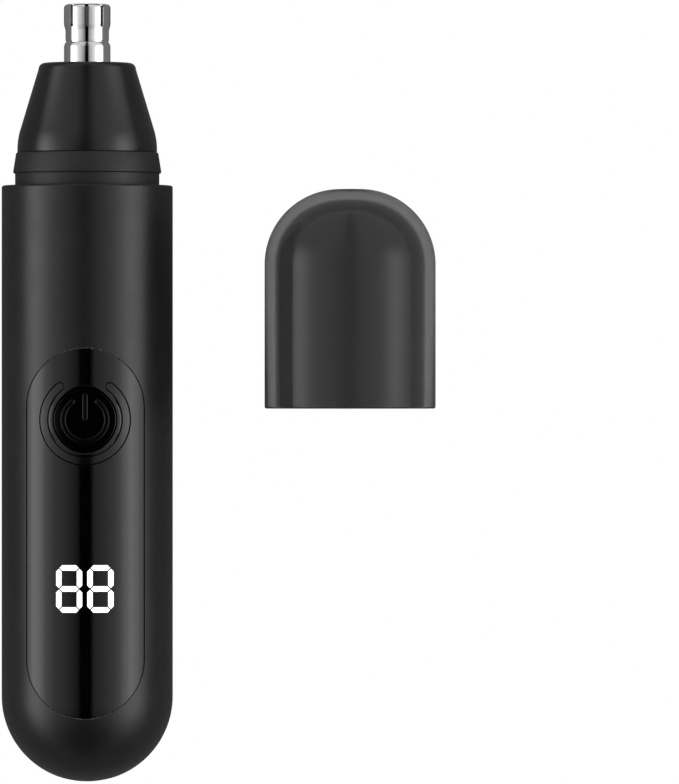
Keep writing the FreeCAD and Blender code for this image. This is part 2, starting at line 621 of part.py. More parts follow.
def ring_lamps():
    """Five small lamps under the light ring."""
    shapes = []
    for turned in (60, 120, 180, 240, 300):
        across = f"{RING_RADIUS} * sin({turned} deg)"
        up = f"dim.button_height + {RING_RADIUS} * cos({turned} deg)"
        half = "dim.lamp_side / 2"
        shapes.append(box(f"{across} - {half}", f"{up} - {half}", f"{across} + {half}", f"{up} + {half}"))
    node(pad("lamps", "front", shapes, BOARD_FRONT, f"{BOARD_FRONT} + dim.lamp_tall"), "ring_lamps")


def switch_case():
    """Square case of the push switch, with a bore for its plunger."""
    half = "dim.switch_side / 2"
    low, high = f"dim.button_height - {half}", f"dim.button_height + {half}"
    case = pad("case", "front", [box(f"-{half}", low, half, high)], BOARD_FRONT, SWITCH_FRONT)
    bore = ("circle", "dim.plunger_radius + dim.plunger_gap", "0", "dim.button_height")
    pocket(case, "front", [bore], f"{BOARD_FRONT} + dim.switch_wall", f"{SWITCH_FRONT} + 1")
    node(case, "switch_case")


def switch_plunger():
    """Round plunger that the button presses."""
    foot = f"({BOARD_FRONT} + dim.switch_wall + dim.button_travel + dim.tang_gap)"
    disc = ("circle", "dim.plunger_radius", "0", "dim.button_height")
    node(pad("plunger", "front", [disc], foot, PLUNGER_FRONT), "switch_plunger")


def usb_socket():
    """Charging socket in the dome's tip: steel shell, tongue and rubber gasket."""
    bottom, top = "dim.port_sunk", "(dim.port_sunk + dim.port_deep)"
    half_wide, half_thick = "(dim.port_width / 2)", "(dim.port_thick / 2)"
    shell = pad("socket", "top", [flat_slot(half_wide, half_thick)], bottom, top)
    pocket(shell, "top", [flat_slot(f"({half_wide} - dim.port_wall)", f"({half_thick} - dim.port_wall)")],
           f"{bottom} - 1", f"{top} - 1")
    node(shell, "usb_socket_shell")
    tongue = box("-dim.tongue_width / 2", "-dim.tongue_thick / 2",
                 "dim.tongue_width / 2", "dim.tongue_thick / 2")
    node(pad("tongue", "top", [tongue], f"{bottom} + 0.6", f"{top} - 1"), "usb_tongue")
    sleeve = pad("gasket", "top", [flat_slot(f"({half_wide} + dim.gasket_wall)",
                                             f"({half_thick} + dim.gasket_wall)")],
                 "0", "dim.shell_wall * 2.4")
    pocket(sleeve, "top", [flat_slot(half_wide, half_thick)], "-1", "dim.shell_wall * 3")
    outside = barrel_form("gasket_limit", "0.2", "dim.shoulder_height")
    node(join("gasket_common", "Common", sleeve, outside), "port_gasket")


def charge_board():
    """Small board that carries the charging socket and stands on the inner frame's end."""
    half = "dim.charge_board_width / 2"
    back = "-(dim.port_thick / 2)"
    outline = box(f"-{half}", "dim.shell_wall * 3", half, "dim.charge_board_top")
    node(pad("small_board", "front", [outline], f"{back} - 1", back), "charge_board")


def battery():
    """Cell with its two contact tabs and its foam pad, held in the inner frame."""
    cell = ("circle", "dim.cell_radius", "0", CELL_BACK)
    node(pad("cell", "top", [cell], "dim.cell_bottom", CELL_TOP), "battery_cell")
    half = "dim.tab_width / 2"
    outline = box(f"-{half}", f"{CELL_BACK} - dim.cell_radius", half, f"{CELL_BACK} + {half}")
    lower = pad("lower_tab", "top", [outline], "dim.cell_bottom - dim.tab_thick", "dim.cell_bottom")
    upper = pad("upper_tab", "top", [outline], CELL_TOP, f"{CELL_TOP} + dim.tab_thick")
    node(group("tabs", lower, upper), "battery_tabs")
    foam = box("-dim.foam_width / 2", "dim.cell_bottom + dim.foam_end",
               "dim.foam_width / 2", f"{CELL_TOP} - dim.foam_end")
    front = f"{BOARD_BACK} - dim.foam_gap"
    block = pad("foam", "front", [foam], "0", front)
    relief = pad("foam_relief", "top", [cell], "dim.cell_bottom", CELL_TOP)
    node(join("foam_cut", "Cut", block, relief), "battery_foam")


def inner_frame():
    """Moulded cradle that carries the battery, the boards and the motor."""
    frame = pad("cradle", "top", [("circle", FRAME_RADIUS)], "dim.frame_bottom", "dim.motor_top")
    cell = "(dim.cell_radius + dim.cell_gap)"
    motor = "(dim.motor_radius + dim.motor_gap)"
    low, high = "dim.cell_bottom - dim.tab_thick", f"{CELL_TOP} + dim.tab_thick"
    wide = "dim.barrel_radius"
    pocket(frame, "front", [box(f"-{wide}", "0", wide, "dim.shoulder_height")], BOARD_BACK, wide)
    pocket(frame, "top", [("circle", cell, "0", CELL_BACK)], low, high)
    lead = "(2 * dim.wire_radius)"
    pocket(frame, "top", [box(f"-{cell}", f"-{wide}", cell, CELL_BACK)],
           f"{low} - {lead}", f"{high} + {lead}")
    pocket(frame, "top", [("circle", motor)], "dim.motor_bottom - dim.end_cap_thick", "dim.motor_top + 1")
    pocket(frame, "top", [box(f"-{motor}", f"-{wide}", motor, "0")],
           "dim.motor_bottom - dim.end_cap_thick", "dim.motor_top + 1")
    pocket(frame, "top", [box("-dim.terminal_bay / 2", f"-{wide}", "dim.terminal_bay / 2", "2")],
           "dim.motor_bottom - dim.end_cap_thick - dim.terminal_room", "dim.motor_bottom")
    bay = "((dim.cell_tall - 5 * dim.frame_rib) / 4)"
    for step in range(4):
        start = f"(dim.cell_bottom + dim.frame_rib + {step} * ({bay} + dim.frame_rib))"
        pocket(frame, "side", [box("0", start, f"{CELL_BACK} + 4", f"{start} + {bay}")],
               f"-{wide}", wide)
    pocket(frame, "top", [box("-dim.charge_board_width / 2", "dim.port_thick / 2",
                              "dim.charge_board_width / 2", "dim.port_thick / 2 + 1")],
           "0", "dim.charge_board_top")
    node(frame, "inner_frame")


# ---- handle: motor -----------------------------------------------------------------------------

def motor_can():
    """Deep-drawn steel can with a flat front."""
    bore = "(dim.motor_radius - dim.motor_wall)"
    can = turn("can", [("dim.bush_radius", "dim.motor_top"), ("dim.motor_radius", "dim.motor_top"),
                       ("dim.motor_radius", "dim.motor_bottom"), (bore, "dim.motor_bottom"),
                       (bore, "dim.motor_top - dim.motor_wall"),
                       ("dim.bush_radius", "dim.motor_top - dim.motor_wall")])
    holes = [("circle", "dim.screw_radius", f"{side}dim.screw_pitch / 2", "0") for side in ("-", "")]
    pocket(can, "top", holes, "dim.motor_top - dim.motor_wall - 1", "dim.motor_top + 1")
    node(can, "motor_can")


def motor_magnets():
    """Two curved magnets inside the can."""
    magnets = ring("magnet", MAGNET_INNER, "dim.motor_radius - dim.motor_wall",
                   "dim.armature_bottom - dim.magnet_over", "dim.armature_top + dim.magnet_over")
    pocket(magnets, "front", [box("-dim.magnet_split / 2", "dim.motor_bottom",
                                  "dim.magnet_split / 2", "dim.motor_top")],
           "-dim.motor_radius", "dim.motor_radius")
    node(magnets, "motor_magnets")


def motor_bearings():
    """End cap, two bushes, brushes and terminals."""
    low = "(dim.motor_bottom - dim.end_cap_thick)"
    cap = turn("end_cap", [("dim.bush_radius", low), ("dim.motor_radius", low),
                           ("dim.motor_radius", "dim.motor_bottom"), ("dim.bush_radius", "dim.motor_bottom")])
    thick, wide = "dim.terminal_thick / 2", "dim.terminal_width / 2"
    strips = [box(f"{across} - {thick}", f"-{wide}", f"{across} + {thick}", wide)
              for across in ("-dim.terminal_pitch / 2", "dim.terminal_pitch / 2")]
    pocket(cap, "top", strips, f"{low} - 1", "dim.motor_bottom + 1")
    node(cap, "motor_end_cap")
    raised = "dim.motor_bottom + dim.brush_step"
    node(pad("terminals", "top", strips, f"{low} - dim.terminal_out", raised), "motor_terminals")
    bore = "(dim.shaft_radius + dim.shaft_gap)"
    node(ring("front", bore, "dim.bush_radius", "dim.motor_top - dim.motor_wall",
              "dim.motor_top - dim.motor_wall + dim.bush_tall"), "front_bush")
    node(ring("rear", bore, "dim.bush_radius", "dim.motor_bottom - dim.bush_tall", "dim.motor_bottom"),
         "rear_bush")
    touch = "(dim.commutator_radius + dim.shaft_gap)"
    outer = "(dim.terminal_pitch / 2 + dim.terminal_thick / 2)"
    half = "dim.brush_width / 2"
    brushes = [box(touch, f"-{half}", outer, half), box(f"-{outer}", f"-{half}", f"-{touch}", half)]
    node(pad("brushes", "top", brushes, raised, f"{raised} + dim.brush_tall"), "motor_brushes")


def leads():
    """Short insulated wires from the battery's tabs and the motor's terminals to the board."""
    low = "(dim.cell_bottom - dim.tab_thick - dim.wire_radius)"
    high = f"({CELL_TOP} + dim.tab_thick + dim.wire_radius)"
    ends = [("circle", "dim.wire_radius", "0", place) for place in (low, high)]
    node(pad("cell_wires", "front", ends, "0", BOARD_BACK), "battery_leads")
    place = "(dim.motor_bottom - dim.end_cap_thick - dim.terminal_room / 2)"
    ends = [("circle", "dim.wire_radius", across, place)
            for across in ("-dim.terminal_pitch / 2", "dim.terminal_pitch / 2")]
    node(pad("motor_wires", "front", ends, "1", BOARD_BACK), "motor_leads")


def rotor():
    """Shaft, laminated core, windings, commutator and drive coupling, which turn together."""
    bottom = "(dim.motor_bottom - dim.end_cap_thick)"
    low, high = "dim.armature_bottom", "dim.armature_top"
    node(ring("shaft", "0", "dim.shaft_radius", bottom, f"{COUPLING_BOTTOM} + dim.coupling_deep"),
         "motor_shaft")
    core = pad("core", "top", [("circle", ARMATURE_RADIUS), ("circle", "dim.shaft_radius")], low, high)
    hub = "(dim.shaft_radius + dim.pole_hub)"
    reach = f"({ARMATURE_RADIUS} - dim.pole_shoe)"
    stem, slot_side = "dim.pole_stem / 2", "dim.pole_slot"
    for side in (box(stem, hub, slot_side, reach), box(f"-{slot_side}", hub, f"-{stem}", reach)):
        polar(core, pocket(core, "top", [side], f"{low} - 1", f"{high} + 1"), 3)
    node(core, "armature_core")
    coils = []
    for turned in (0, 120, 240):
        outline = box("-dim.coil_width / 2", hub, "dim.coil_width / 2", f"{reach} - dim.coil_gap")
        wound = pad("wound", "top", [outline], f"{low} - dim.coil_over", f"{high} + dim.coil_over")
        arm = pad("arm", "top", [box(f"-{stem}", "0", stem, "dim.motor_radius")], low, high)
        coil = join("coil", "Cut", wound, arm)
        spin = FreeCAD.Rotation(FreeCAD.Vector(0, 0, 1), turned)
        coil.Placement = FreeCAD.Placement(FreeCAD.Vector(), spin)
        coils.append(coil)
    node(group("coils", *coils), "armature_windings")
    node(ring("segments", "dim.shaft_radius", "dim.commutator_radius",
              "dim.motor_bottom + dim.brush_step", f"{low} - dim.coil_over"), "commutator")


def drive_coupling():
    """Coupling pressed on the shaft, with a flat tang that drives the blade spindle."""
    coupling = ring("coupling", "0", "dim.coupling_radius", COUPLING_BOTTOM, TANG_BOTTOM)
    tang = box("-dim.tang_width / 2", "-dim.tang_thick / 2", "dim.tang_width / 2", "dim.tang_thick / 2")
    pad("coupling", "top", [tang], TANG_BOTTOM, f"{TANG_BOTTOM} + dim.tang_tall", coupling)
    pocket(coupling, "top", [("circle", "dim.shaft_radius")],
           f"{COUPLING_BOTTOM} - 1", f"{COUPLING_BOTTOM} + dim.coupling_deep")
    node(coupling, "drive_coupling")


# ---- handle: collar ----------------------------------------------------------------------------

def neck_collar():
    """Top closure: a plug in the shell, a floor over the motor, the neck and the tapered collar."""
    plug = f"({SHELL_BORE} - dim.plug_gap)"
    hole = "(dim.bush_radius + dim.plug_gap)"
    collar = turn("collar", [
        (hole, "dim.motor_top"), (plug, "dim.motor_top"), (plug, "dim.shoulder_height"),
        ("dim.neck_radius", "dim.shoulder_height"), ("dim.neck_radius", NECK_TOP),
        ("dim.collar_radius", NECK_TOP), ("dim.collar_top_radius", CONE_BASE),
        ("dim.collar_bore", CONE_BASE), ("dim.collar_bore", FLOOR_TOP), (hole, FLOOR_TOP)])
    middle = "(dim.shoulder_height - dim.seal_drop)"
    room = "(dim.seal_section + dim.seal_gap)"
    groove(collar, box(f"{SHELL_BORE} - 2 * {room}", f"{middle} - {room}",
                       "dim.barrel_radius", f"{middle} + {room}"))
    holes = [("circle", "dim.screw_radius", f"{side}dim.screw_pitch / 2", "0") for side in ("-", "")]
    pocket(collar, "top", holes, "dim.motor_top - 1", f"{FLOOR_TOP} + 1")
    node(collar, "neck_collar")
    seal = turn("seal", ("circle", "dim.seal_section", f"{SHELL_BORE} - {room}", middle))
    node(seal, "neck_seal")


def motor_screws():
    """Two screws that hold the motor to the collar's floor."""
    ends = ("-dim.screw_pitch / 2", "dim.screw_pitch / 2")
    shanks = [("circle", "dim.screw_radius", across, "0") for across in ends]
    heads = [("circle", "dim.screw_head", across, "0") for across in ends]
    screws = pad("screws", "top", shanks, "dim.motor_top - dim.screw_grip", FLOOR_TOP)
    crown = f"({FLOOR_TOP} + dim.screw_head_tall)"
    pad("screws", "top", heads, FLOOR_TOP, crown, screws)
    half, reach = "dim.screw_drive / 2", "dim.screw_drive_long / 2"
    drives = [box(f"{across} - {half}", f"-{reach}", f"{across} + {half}", reach) for across in ends]
    pocket(screws, "top", drives, f"{crown} - dim.screw_drive_deep", f"{crown} + 1")
    node(screws, "motor_screws")


# ---- button ------------------------------------------------------------------------------------

def button_form(label, sunk):
    """The button as a turned solid, its flat face lowered by sunk."""
    face = f"({BUTTON_FACE} - ({sunk}))"
    return turn(label, [
        ("0", f"-{PLUNGER_FRONT}"), ("dim.button_stem", f"-{PLUNGER_FRONT}"),
        ("dim.button_stem", f"-{LIP_BACK}"), (LIP_RADIUS, f"-{LIP_BACK}"),
        (LIP_RADIUS, f"-{LIP_FRONT}"), ("dim.button_radius", f"-{LIP_FRONT}"),
        ("dim.button_radius", f"dim.button_edge - {face}"),
        ("dim.button_radius - dim.button_edge", f"-{face}", "-dim.button_edge"), ("0", f"-{face}")],
        about="front", height="dim.button_height")


def power_button():
    """Round button with a flat face and the power symbol set in it, a little proud."""
    arc = open_ring("dim.symbol_radius", "dim.symbol_line", "dim.symbol_open", "dim.button_height")
    half = "dim.symbol_line / 2"
    bar = slot(f"({half})", "(dim.button_height - 0.2)", "(dim.button_height + dim.symbol_bar_top)")
    marks = pad("marks", "front", [arc, bar], BOARD_FRONT, "dim.barrel_radius + 1")
    proud = join("marks_proud", "Common", marks, button_form("face", "-dim.symbol_proud"))
    symbol = join("marks_inlay", "Cut", proud, button_form("face_floor", "dim.symbol_depth"))
    node(join("button_cut", "Cut", button_form("button", "0"), symbol), "power_button")
    node(group("inlay", symbol), "power_symbol")


# ---- head --------------------------------------------------------------------------------------

def head_cone():
    """Cone with a rounded top, a hollow inside and a spigot that pushes into the collar."""
    spigot = "(dim.collar_bore - dim.head_gap)"
    inside = f"({spigot} - dim.cone_wall)"
    foot = f"({CONE_BASE} - dim.spigot_deep)"
    side_top = f"({CONE_BASE} + dim.cone_side_tall)"
    node(turn("cone", [
        (inside, foot), (spigot, foot), (spigot, CONE_BASE), ("dim.cone_radius", CONE_BASE),
        ("dim.cone_knee_radius", f"{CONE_BASE} + dim.cone_knee", "dim.cone_bend"),
        ("dim.cone_top_radius", side_top),
        ("dim.cone_flat_radius", CONE_TOP, "dim.cone_round"),
        ("dim.tube_radius + 0.02", CONE_TOP), ("dim.tube_radius + 0.02", FLANGE_TOP),
        (POCKET_RADIUS, FLANGE_TOP), (POCKET_RADIUS, f"{RETAINER_BOTTOM} - 1.5"),
        (inside, f"{CONE_BASE} + 1")]), "head_cone")


def outer_cutter():
    """Steel tube with a sleeve, a waist and a slotted crown, flanged inside the cone."""
    sleeve = f"({CONE_TOP} + dim.sleeve_tall)"
    waist = f"({sleeve} + dim.sleeve_slope)"
    flare = f"({CONE_TOP} + dim.flare_bottom)"
    seam = f"({WAIST_RADIUS} - dim.seam_depth)"
    cutter = turn("cutter", [
        (TUBE_BORE, RETAINER_TOP), ("dim.flange_radius", RETAINER_TOP),
        ("dim.flange_radius", FLANGE_TOP), ("dim.tube_radius", FLANGE_TOP),
        ("dim.tube_radius", sleeve), (WAIST_RADIUS, waist),
        (seam, waist), (seam, f"{waist} + dim.seam_tall"),
        (WAIST_RADIUS, f"{waist} + dim.seam_tall"), (WAIST_RADIUS, flare),
        (CROWN_RADIUS, f"{flare} + dim.flare_slope"), (CROWN_RADIUS, f"{TUBE_TOP} - dim.crown_round"),
        (f"{CROWN_RADIUS} - dim.crown_round", TUBE_TOP, "dim.crown_round"), ("0", TUBE_TOP),
        ("0", f"{TUBE_TOP} - dim.tube_wall"), (TUBE_BORE, f"{TUBE_TOP} - dim.tube_wall")])
    half = "dim.slot_width / 2"
    cut = pocket(cutter, "front", [box(f"-{half}", f"{TUBE_TOP} - dim.slot_tall", half, f"{TUBE_TOP} + 1")],
                 "dim.slot_inner", "dim.tube_radius + 1")
    polar(cutter, cut, "dim.slot_count")
    node(cutter, "outer_cutter")


def cutter_seat():
    """Retainer that holds the cutter's flange in the cone, and the spindle's bush in it."""
    node(ring("retainer", "dim.guide_bush_radius", POCKET_RADIUS, RETAINER_BOTTOM, RETAINER_TOP),
         "cutter_retainer")
    node(ring("guide", "dim.spindle_radius + dim.spindle_gap", "dim.guide_bush_radius",
              f"{RETAINER_BOTTOM} - 2", RETAINER_TOP), "spindle_bush")


def blade_spindle():
    """Spindle with a drive socket at its foot, a spring collar and a cross slot for the blades."""
    spindle = ring("spindle", "0", "dim.spindle_radius", SOCKET_TOP, f"{BLADE_BOTTOM} + 1.6")
    pad("spindle", "top", [("circle", "dim.socket_radius")], SOCKET_BOTTOM, SOCKET_TOP, spindle)
    pad("spindle", "top", [("circle", "dim.spring_radius + 2 * dim.spring_wire")],
        SPRING_TOP, BLADE_BOTTOM, spindle)
    wide = "(dim.tang_width / 2 + dim.tang_gap)"
    thick = "(dim.tang_thick / 2 + dim.tang_gap)"
    pocket(spindle, "top", [box(f"-{wide}", f"-{thick}", wide, thick)],
           f"{SOCKET_BOTTOM} - 1", f"{TANG_BOTTOM} + dim.tang_tall + dim.tang_gap")
    half = "dim.blade_thick / 2"
    for slit in (box("-5", f"-{half}", "5", half), box(f"-{half}", "-5", half, "5")):
        pocket(spindle, "top", [slit], BLADE_BOTTOM, f"{BLADE_BOTTOM} + 3")
    node(spindle, "blade_spindle")


def inner_blades():
    """Two crossed steel blades that sweep the inside of the slotted crown."""
    half = "dim.blade_thick / 2"
    reach = f"({TUBE_BORE} - dim.blade_gap)"
    blades = pad("blades", "top", [box(f"-{reach}", f"-{half}", reach, half)], BLADE_BOTTOM, BLADE_TOP)
    pad("blades", "top", [box(f"-{half}", f"-{reach}", half, reach)], BLADE_BOTTOM, BLADE_TOP, blades)
    node(blades, "inner_blades")


def cutter_spring():
    """Coil spring between the spindle's bush and its collar."""
    body = new_body("spring")
    sketch = new_sketch(body, "front")
    start = f"({SPRING_BOTTOM} + dim.spring_wire)"
    draw(sketch, [("circle", "dim.spring_wire", "dim.spring_radius", start)])
    coil = body.newObject("PartDesign::AdditiveHelix", "coil")
    coil.Profile = sketch
    coil.ReferenceAxis = (sketch, ["V_Axis"])
    coil.Mode = "height-turns-angle"
    coil.setExpression("Height", f"{SPRING_TOP} - dim.spring_wire - {start}")
    coil.setExpression("Turns", "dim.spring_turns")
    node(body, "cutter_spring")


# ---- cap ---------------------------------------------------------------------------------------

def protective_cap():
    """Cup with a rounded closed end, drawn from its mouth up."""
    centre = "(dim.cap_tall - dim.cap_round)"
    inner = "(dim.cap_round - dim.cap_roof)"
    node(turn("cap", [
        ("0", "dim.cap_tall"), (f"{CAP_RADIUS} - dim.cap_round", "dim.cap_tall"),
        (CAP_RADIUS, centre, "-dim.cap_round"), (CAP_RADIUS, "0"), (CAP_BORE, "0"),
        (CAP_BORE, centre), (f"{CAP_BORE} - {inner}", f"{centre} + {inner}", inner),
        ("0", f"{centre} + {inner}")]), "protective_cap", "cap")


def check_and_write():
    """Recompute, refuse anything failed, and write one STEP file for each node."""
    doc.recompute()
    for item in doc.Objects:
        if "Invalid" in item.State or "Error" in item.State:
            raise RuntimeError(f"{item.Name} ({item.Label}) failed")
    for label, piece in nodes.items():
        if piece.Shape.isNull() or not piece.Shape.isValid():
            raise RuntimeError(f"{label} has no valid shape")
    os.makedirs("parts", exist_ok=True)
    for label, piece in nodes.items():
        piece.Shape.exportStep(f"parts/{label}.step")
        print(f"{label}: {len(piece.Shape.Solids)} solids, {piece.Shape.Volume:.1f} mm3")


fill_sheet()
for build in (body_shell, front_panel, light_ring, display_segments, display_housing, circuit_board,
              board_chips, ring_lamps, switch_case, switch_plunger, usb_socket, charge_board, battery,
              inner_frame, motor_can, motor_magnets, motor_bearings, leads, rotor, drive_coupling,
              neck_collar, motor_screws, power_button, head_cone, outer_cutter, cutter_seat,
              blade_spindle, inner_blades, cutter_spring, protective_cap):
    build()
check_and_write()
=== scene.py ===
# %% [markdown]
# # A nose hair trimmer and its cap
#
# This lesson dresses a finished engineering model. The model comes in as a fixed frame, with every part
# in its true place and size, in metres. The trimmer lies on its back: its head points along +Y, its
# button and display face up, and its cap lies beside it. Each step below makes one visible piece finer
# than the engineering solid, or gives a finish to the parts that stay.

# %% Load the frame
import bmesh
import bpy
import json
import math
from mathutils import Matrix, Vector


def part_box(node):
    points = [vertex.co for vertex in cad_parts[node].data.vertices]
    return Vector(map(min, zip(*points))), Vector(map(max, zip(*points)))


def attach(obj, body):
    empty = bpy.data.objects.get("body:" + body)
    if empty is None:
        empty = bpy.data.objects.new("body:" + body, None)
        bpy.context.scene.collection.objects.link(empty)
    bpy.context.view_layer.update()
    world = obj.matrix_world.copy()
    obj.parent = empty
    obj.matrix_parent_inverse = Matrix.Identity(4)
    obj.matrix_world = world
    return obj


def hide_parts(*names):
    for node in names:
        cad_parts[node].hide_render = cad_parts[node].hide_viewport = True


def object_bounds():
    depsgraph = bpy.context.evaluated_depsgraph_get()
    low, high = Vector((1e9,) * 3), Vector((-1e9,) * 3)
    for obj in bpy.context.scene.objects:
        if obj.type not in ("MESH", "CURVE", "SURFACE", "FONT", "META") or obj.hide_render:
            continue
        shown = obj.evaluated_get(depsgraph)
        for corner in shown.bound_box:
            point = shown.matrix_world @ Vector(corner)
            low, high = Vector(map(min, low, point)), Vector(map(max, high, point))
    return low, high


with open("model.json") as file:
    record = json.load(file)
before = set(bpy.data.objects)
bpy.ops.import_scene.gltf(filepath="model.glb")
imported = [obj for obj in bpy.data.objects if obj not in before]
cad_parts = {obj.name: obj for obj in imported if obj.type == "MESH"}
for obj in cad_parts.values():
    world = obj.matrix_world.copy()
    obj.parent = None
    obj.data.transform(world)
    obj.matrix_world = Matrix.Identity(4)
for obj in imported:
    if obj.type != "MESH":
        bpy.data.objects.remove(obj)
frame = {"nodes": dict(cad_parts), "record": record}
cad_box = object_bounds()

# %% [markdown]
# ## Driving sizes
#
# Most sizes are read from the parts themselves, so the looks follow the model. A few small ones, such as
# the width of a gap or of a rounding, can't be read from a box and are named here.

# %% Sizes read from the parts
MM = 0.001
shell_low, shell_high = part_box("body_shell")
RADIUS = (shell_high[0] - shell_low[0]) / 2
TIP = shell_low[1]
SHOULDER = shell_high[1]
DOME = TIP + RADIUS
WALL = 1.8 * MM
PANEL_THICK = 1.0 * MM
PANEL_GAP = 0.15 * MM
LEDGE = 1.4 * MM
STEPS = 192
print(f"barrel {2 * RADIUS / MM:.1f} mm across, {(SHOULDER - TIP) / MM:.1f} mm to its shoulder")


# %% [markdown]
# ## Helpers: meshes
#
# A new piece starts as a mesh with its place in its vertices and its object at the origin. The next
# helpers make an object from a mesh, take the result of modifiers as a plain mesh, and cut one closed
# mesh with another.

# %% Mesh helpers
def new_piece(name, mesh):
    """An object at the origin that shows a mesh."""
    piece = bpy.data.objects.new(name, mesh)
    bpy.context.scene.collection.objects.link(piece)
    return piece


def settle(piece):
    """Turn the result of a piece's modifiers into its own plain mesh."""
    bpy.context.view_layer.update()
    graph = bpy.context.evaluated_depsgraph_get()
    mesh = bpy.data.meshes.new_from_object(piece.evaluated_get(graph))
    piece.modifiers.clear()
    if piece.type == "MESH":
        piece.data = mesh
        return piece
    name = piece.name
    bpy.data.objects.remove(piece)
    return new_piece(name, mesh)


def cut(piece, tool):
    """Take the tool's volume out of a piece and delete the tool."""
    boolean = piece.modifiers.new("cut", "BOOLEAN")
    boolean.operation = "DIFFERENCE"
    boolean.solver = "EXACT"
    boolean.object = tool
    settle(piece)
    bpy.data.objects.remove(tool)
    return piece


def tidy(piece, sharp=35):
    """Close seams and poles, turn faces outward, and smooth all but the sharp edges."""
    bm = bmesh.new()
    bm.from_mesh(piece.data)
    bmesh.ops.remove_doubles(bm, verts=bm.verts, dist=1e-6)
    bmesh.ops.dissolve_degenerate(bm, edges=bm.edges, dist=1e-7)
    bmesh.ops.recalc_face_normals(bm, faces=bm.faces)
    for face in bm.faces:
        face.smooth = True
    for edge in bm.edges:
        edge.smooth = len(edge.link_faces) == 2 and edge.calc_face_angle(0) < math.radians(sharp)
    bm.to_mesh(piece.data)
    bm.free()
    return piece


def report(piece):
    """Say what was made."""
    print(f"{piece.name}: {len(piece.data.polygons)} faces")
    return piece


# %% [markdown]
# ## Helpers: a lathe in Geometry Nodes
#
# The barrel, the cone, the cutter and the cap are all turned shapes: one outline carried round a line.
# That is a rule, so a small node tree does it. A grid has one column for each step round and one row for
# each point of the outline. Every grid point looks up its outline point and is moved to that radius and
# height, at its own angle. Changing the outline or the number of steps changes the whole piece.

# %% The lathe tree
def link_math(tree, kind, first, second):
    """A math node with two inputs, each a number or a socket."""
    node = tree.nodes.new("ShaderNodeMath")
    node.operation = kind
    for socket, source in zip(node.inputs, (first, second)):
        if isinstance(source, (int, float)):
            socket.default_value = source
        else:
            tree.links.new(source, socket)
    return node.outputs[0]


def lathe_tree():
    """Outline object, steps and a material in; a turned surface out."""
    tree = bpy.data.node_groups.new("lathe", "GeometryNodeTree")
    face = tree.interface
    face.new_socket("Geometry", in_out="OUTPUT", socket_type="NodeSocketGeometry")
    face.new_socket("Geometry", in_out="INPUT", socket_type="NodeSocketGeometry")
    face.new_socket("Steps", in_out="INPUT", socket_type="NodeSocketInt")
    face.new_socket("Points", in_out="INPUT", socket_type="NodeSocketInt")
    face.new_socket("Finish", in_out="INPUT", socket_type="NodeSocketMaterial")
    nodes, links = tree.nodes, tree.links
    given = nodes.new("NodeGroupInput").outputs
    grid = nodes.new("GeometryNodeMeshGrid")
    links.new(link_math(tree, "ADD", given["Steps"], 1), grid.inputs["Vertices X"])
    links.new(given["Points"], grid.inputs["Vertices Y"])
    index = nodes.new("GeometryNodeInputIndex").outputs[0]
    column = link_math(tree, "FLOOR", link_math(tree, "DIVIDE", index, given["Points"]), 0)
    row = link_math(tree, "SUBTRACT", index, link_math(tree, "MULTIPLY", column, given["Points"]))
    look = nodes.new("GeometryNodeSampleIndex")
    look.data_type = "FLOAT_VECTOR"
    links.new(given["Geometry"], look.inputs["Geometry"])
    links.new(nodes.new("GeometryNodeInputPosition").outputs[0], look.inputs["Value"])
    links.new(row, look.inputs["Index"])
    outline = nodes.new("ShaderNodeSeparateXYZ")
    links.new(look.outputs[0], outline.inputs[0])
    turn = link_math(tree, "MULTIPLY", link_math(tree, "DIVIDE", column, given["Steps"]), math.tau)
    place = nodes.new("ShaderNodeCombineXYZ")
    across = link_math(tree, "MULTIPLY", outline.outputs[0], link_math(tree, "SINE", turn, 0))
    up = link_math(tree, "MULTIPLY", outline.outputs[0], link_math(tree, "COSINE", turn, 0))
    links.new(across, place.inputs[0])
    links.new(outline.outputs[1], place.inputs[1])
    links.new(up, place.inputs[2])
    move = nodes.new("GeometryNodeSetPosition")
    links.new(grid.outputs["Mesh"], move.inputs["Geometry"])
    links.new(place.outputs[0], move.inputs["Position"])
    real = nodes.new("GeometryNodeRealizeInstances")
    links.new(move.outputs[0], real.inputs[0])
    finish = nodes.new("GeometryNodeSetMaterial")
    links.new(real.outputs[0], finish.inputs["Geometry"])
    links.new(given["Finish"], finish.inputs["Material"])
    links.new(finish.outputs[0], nodes.new("NodeGroupOutput").inputs[0])
    return tree


LATHE = lathe_tree()
print("lathe tree has", len(LATHE.nodes), "nodes")


# %% Using the lathe
def set_input(modifier, name, value):
    """Set a Geometry Nodes input, found by its socket's identifier."""
    for item in modifier.node_group.interface.items_tree:
        if item.name == name and item.in_out == "INPUT":
            modifier[item.identifier] = value


def arc(across, along, radius, first, last, count=10):
    """Points of an arc, angles in degrees from +X towards +Y."""
    angles = [math.radians(first + (last - first) * step / count) for step in range(count + 1)]
    return [(across + radius * math.cos(turn), along + radius * math.sin(turn)) for turn in angles]


def bend(start, end, radius, count=8):
    """Points of an arc from start to end that bulges away from the axis."""
    (x0, y0), (x1, y1) = start, end
    middle = ((x0 + x1) / 2, (y0 + y1) / 2)
    chord = math.hypot(x1 - x0, y1 - y0)
    away = math.sqrt(radius ** 2 - chord ** 2 / 4)
    across, along = -(y1 - y0) / chord, (x1 - x0) / chord
    centre = (middle[0] + across * away, middle[1] + along * away)
    first = math.degrees(math.atan2(y0 - centre[1], x0 - centre[0]))
    last = math.degrees(math.atan2(y1 - centre[1], x1 - centre[0]))
    last = first + (last - first + 180) % 360 - 180
    return arc(centre[0], centre[1], radius, first, last, count)


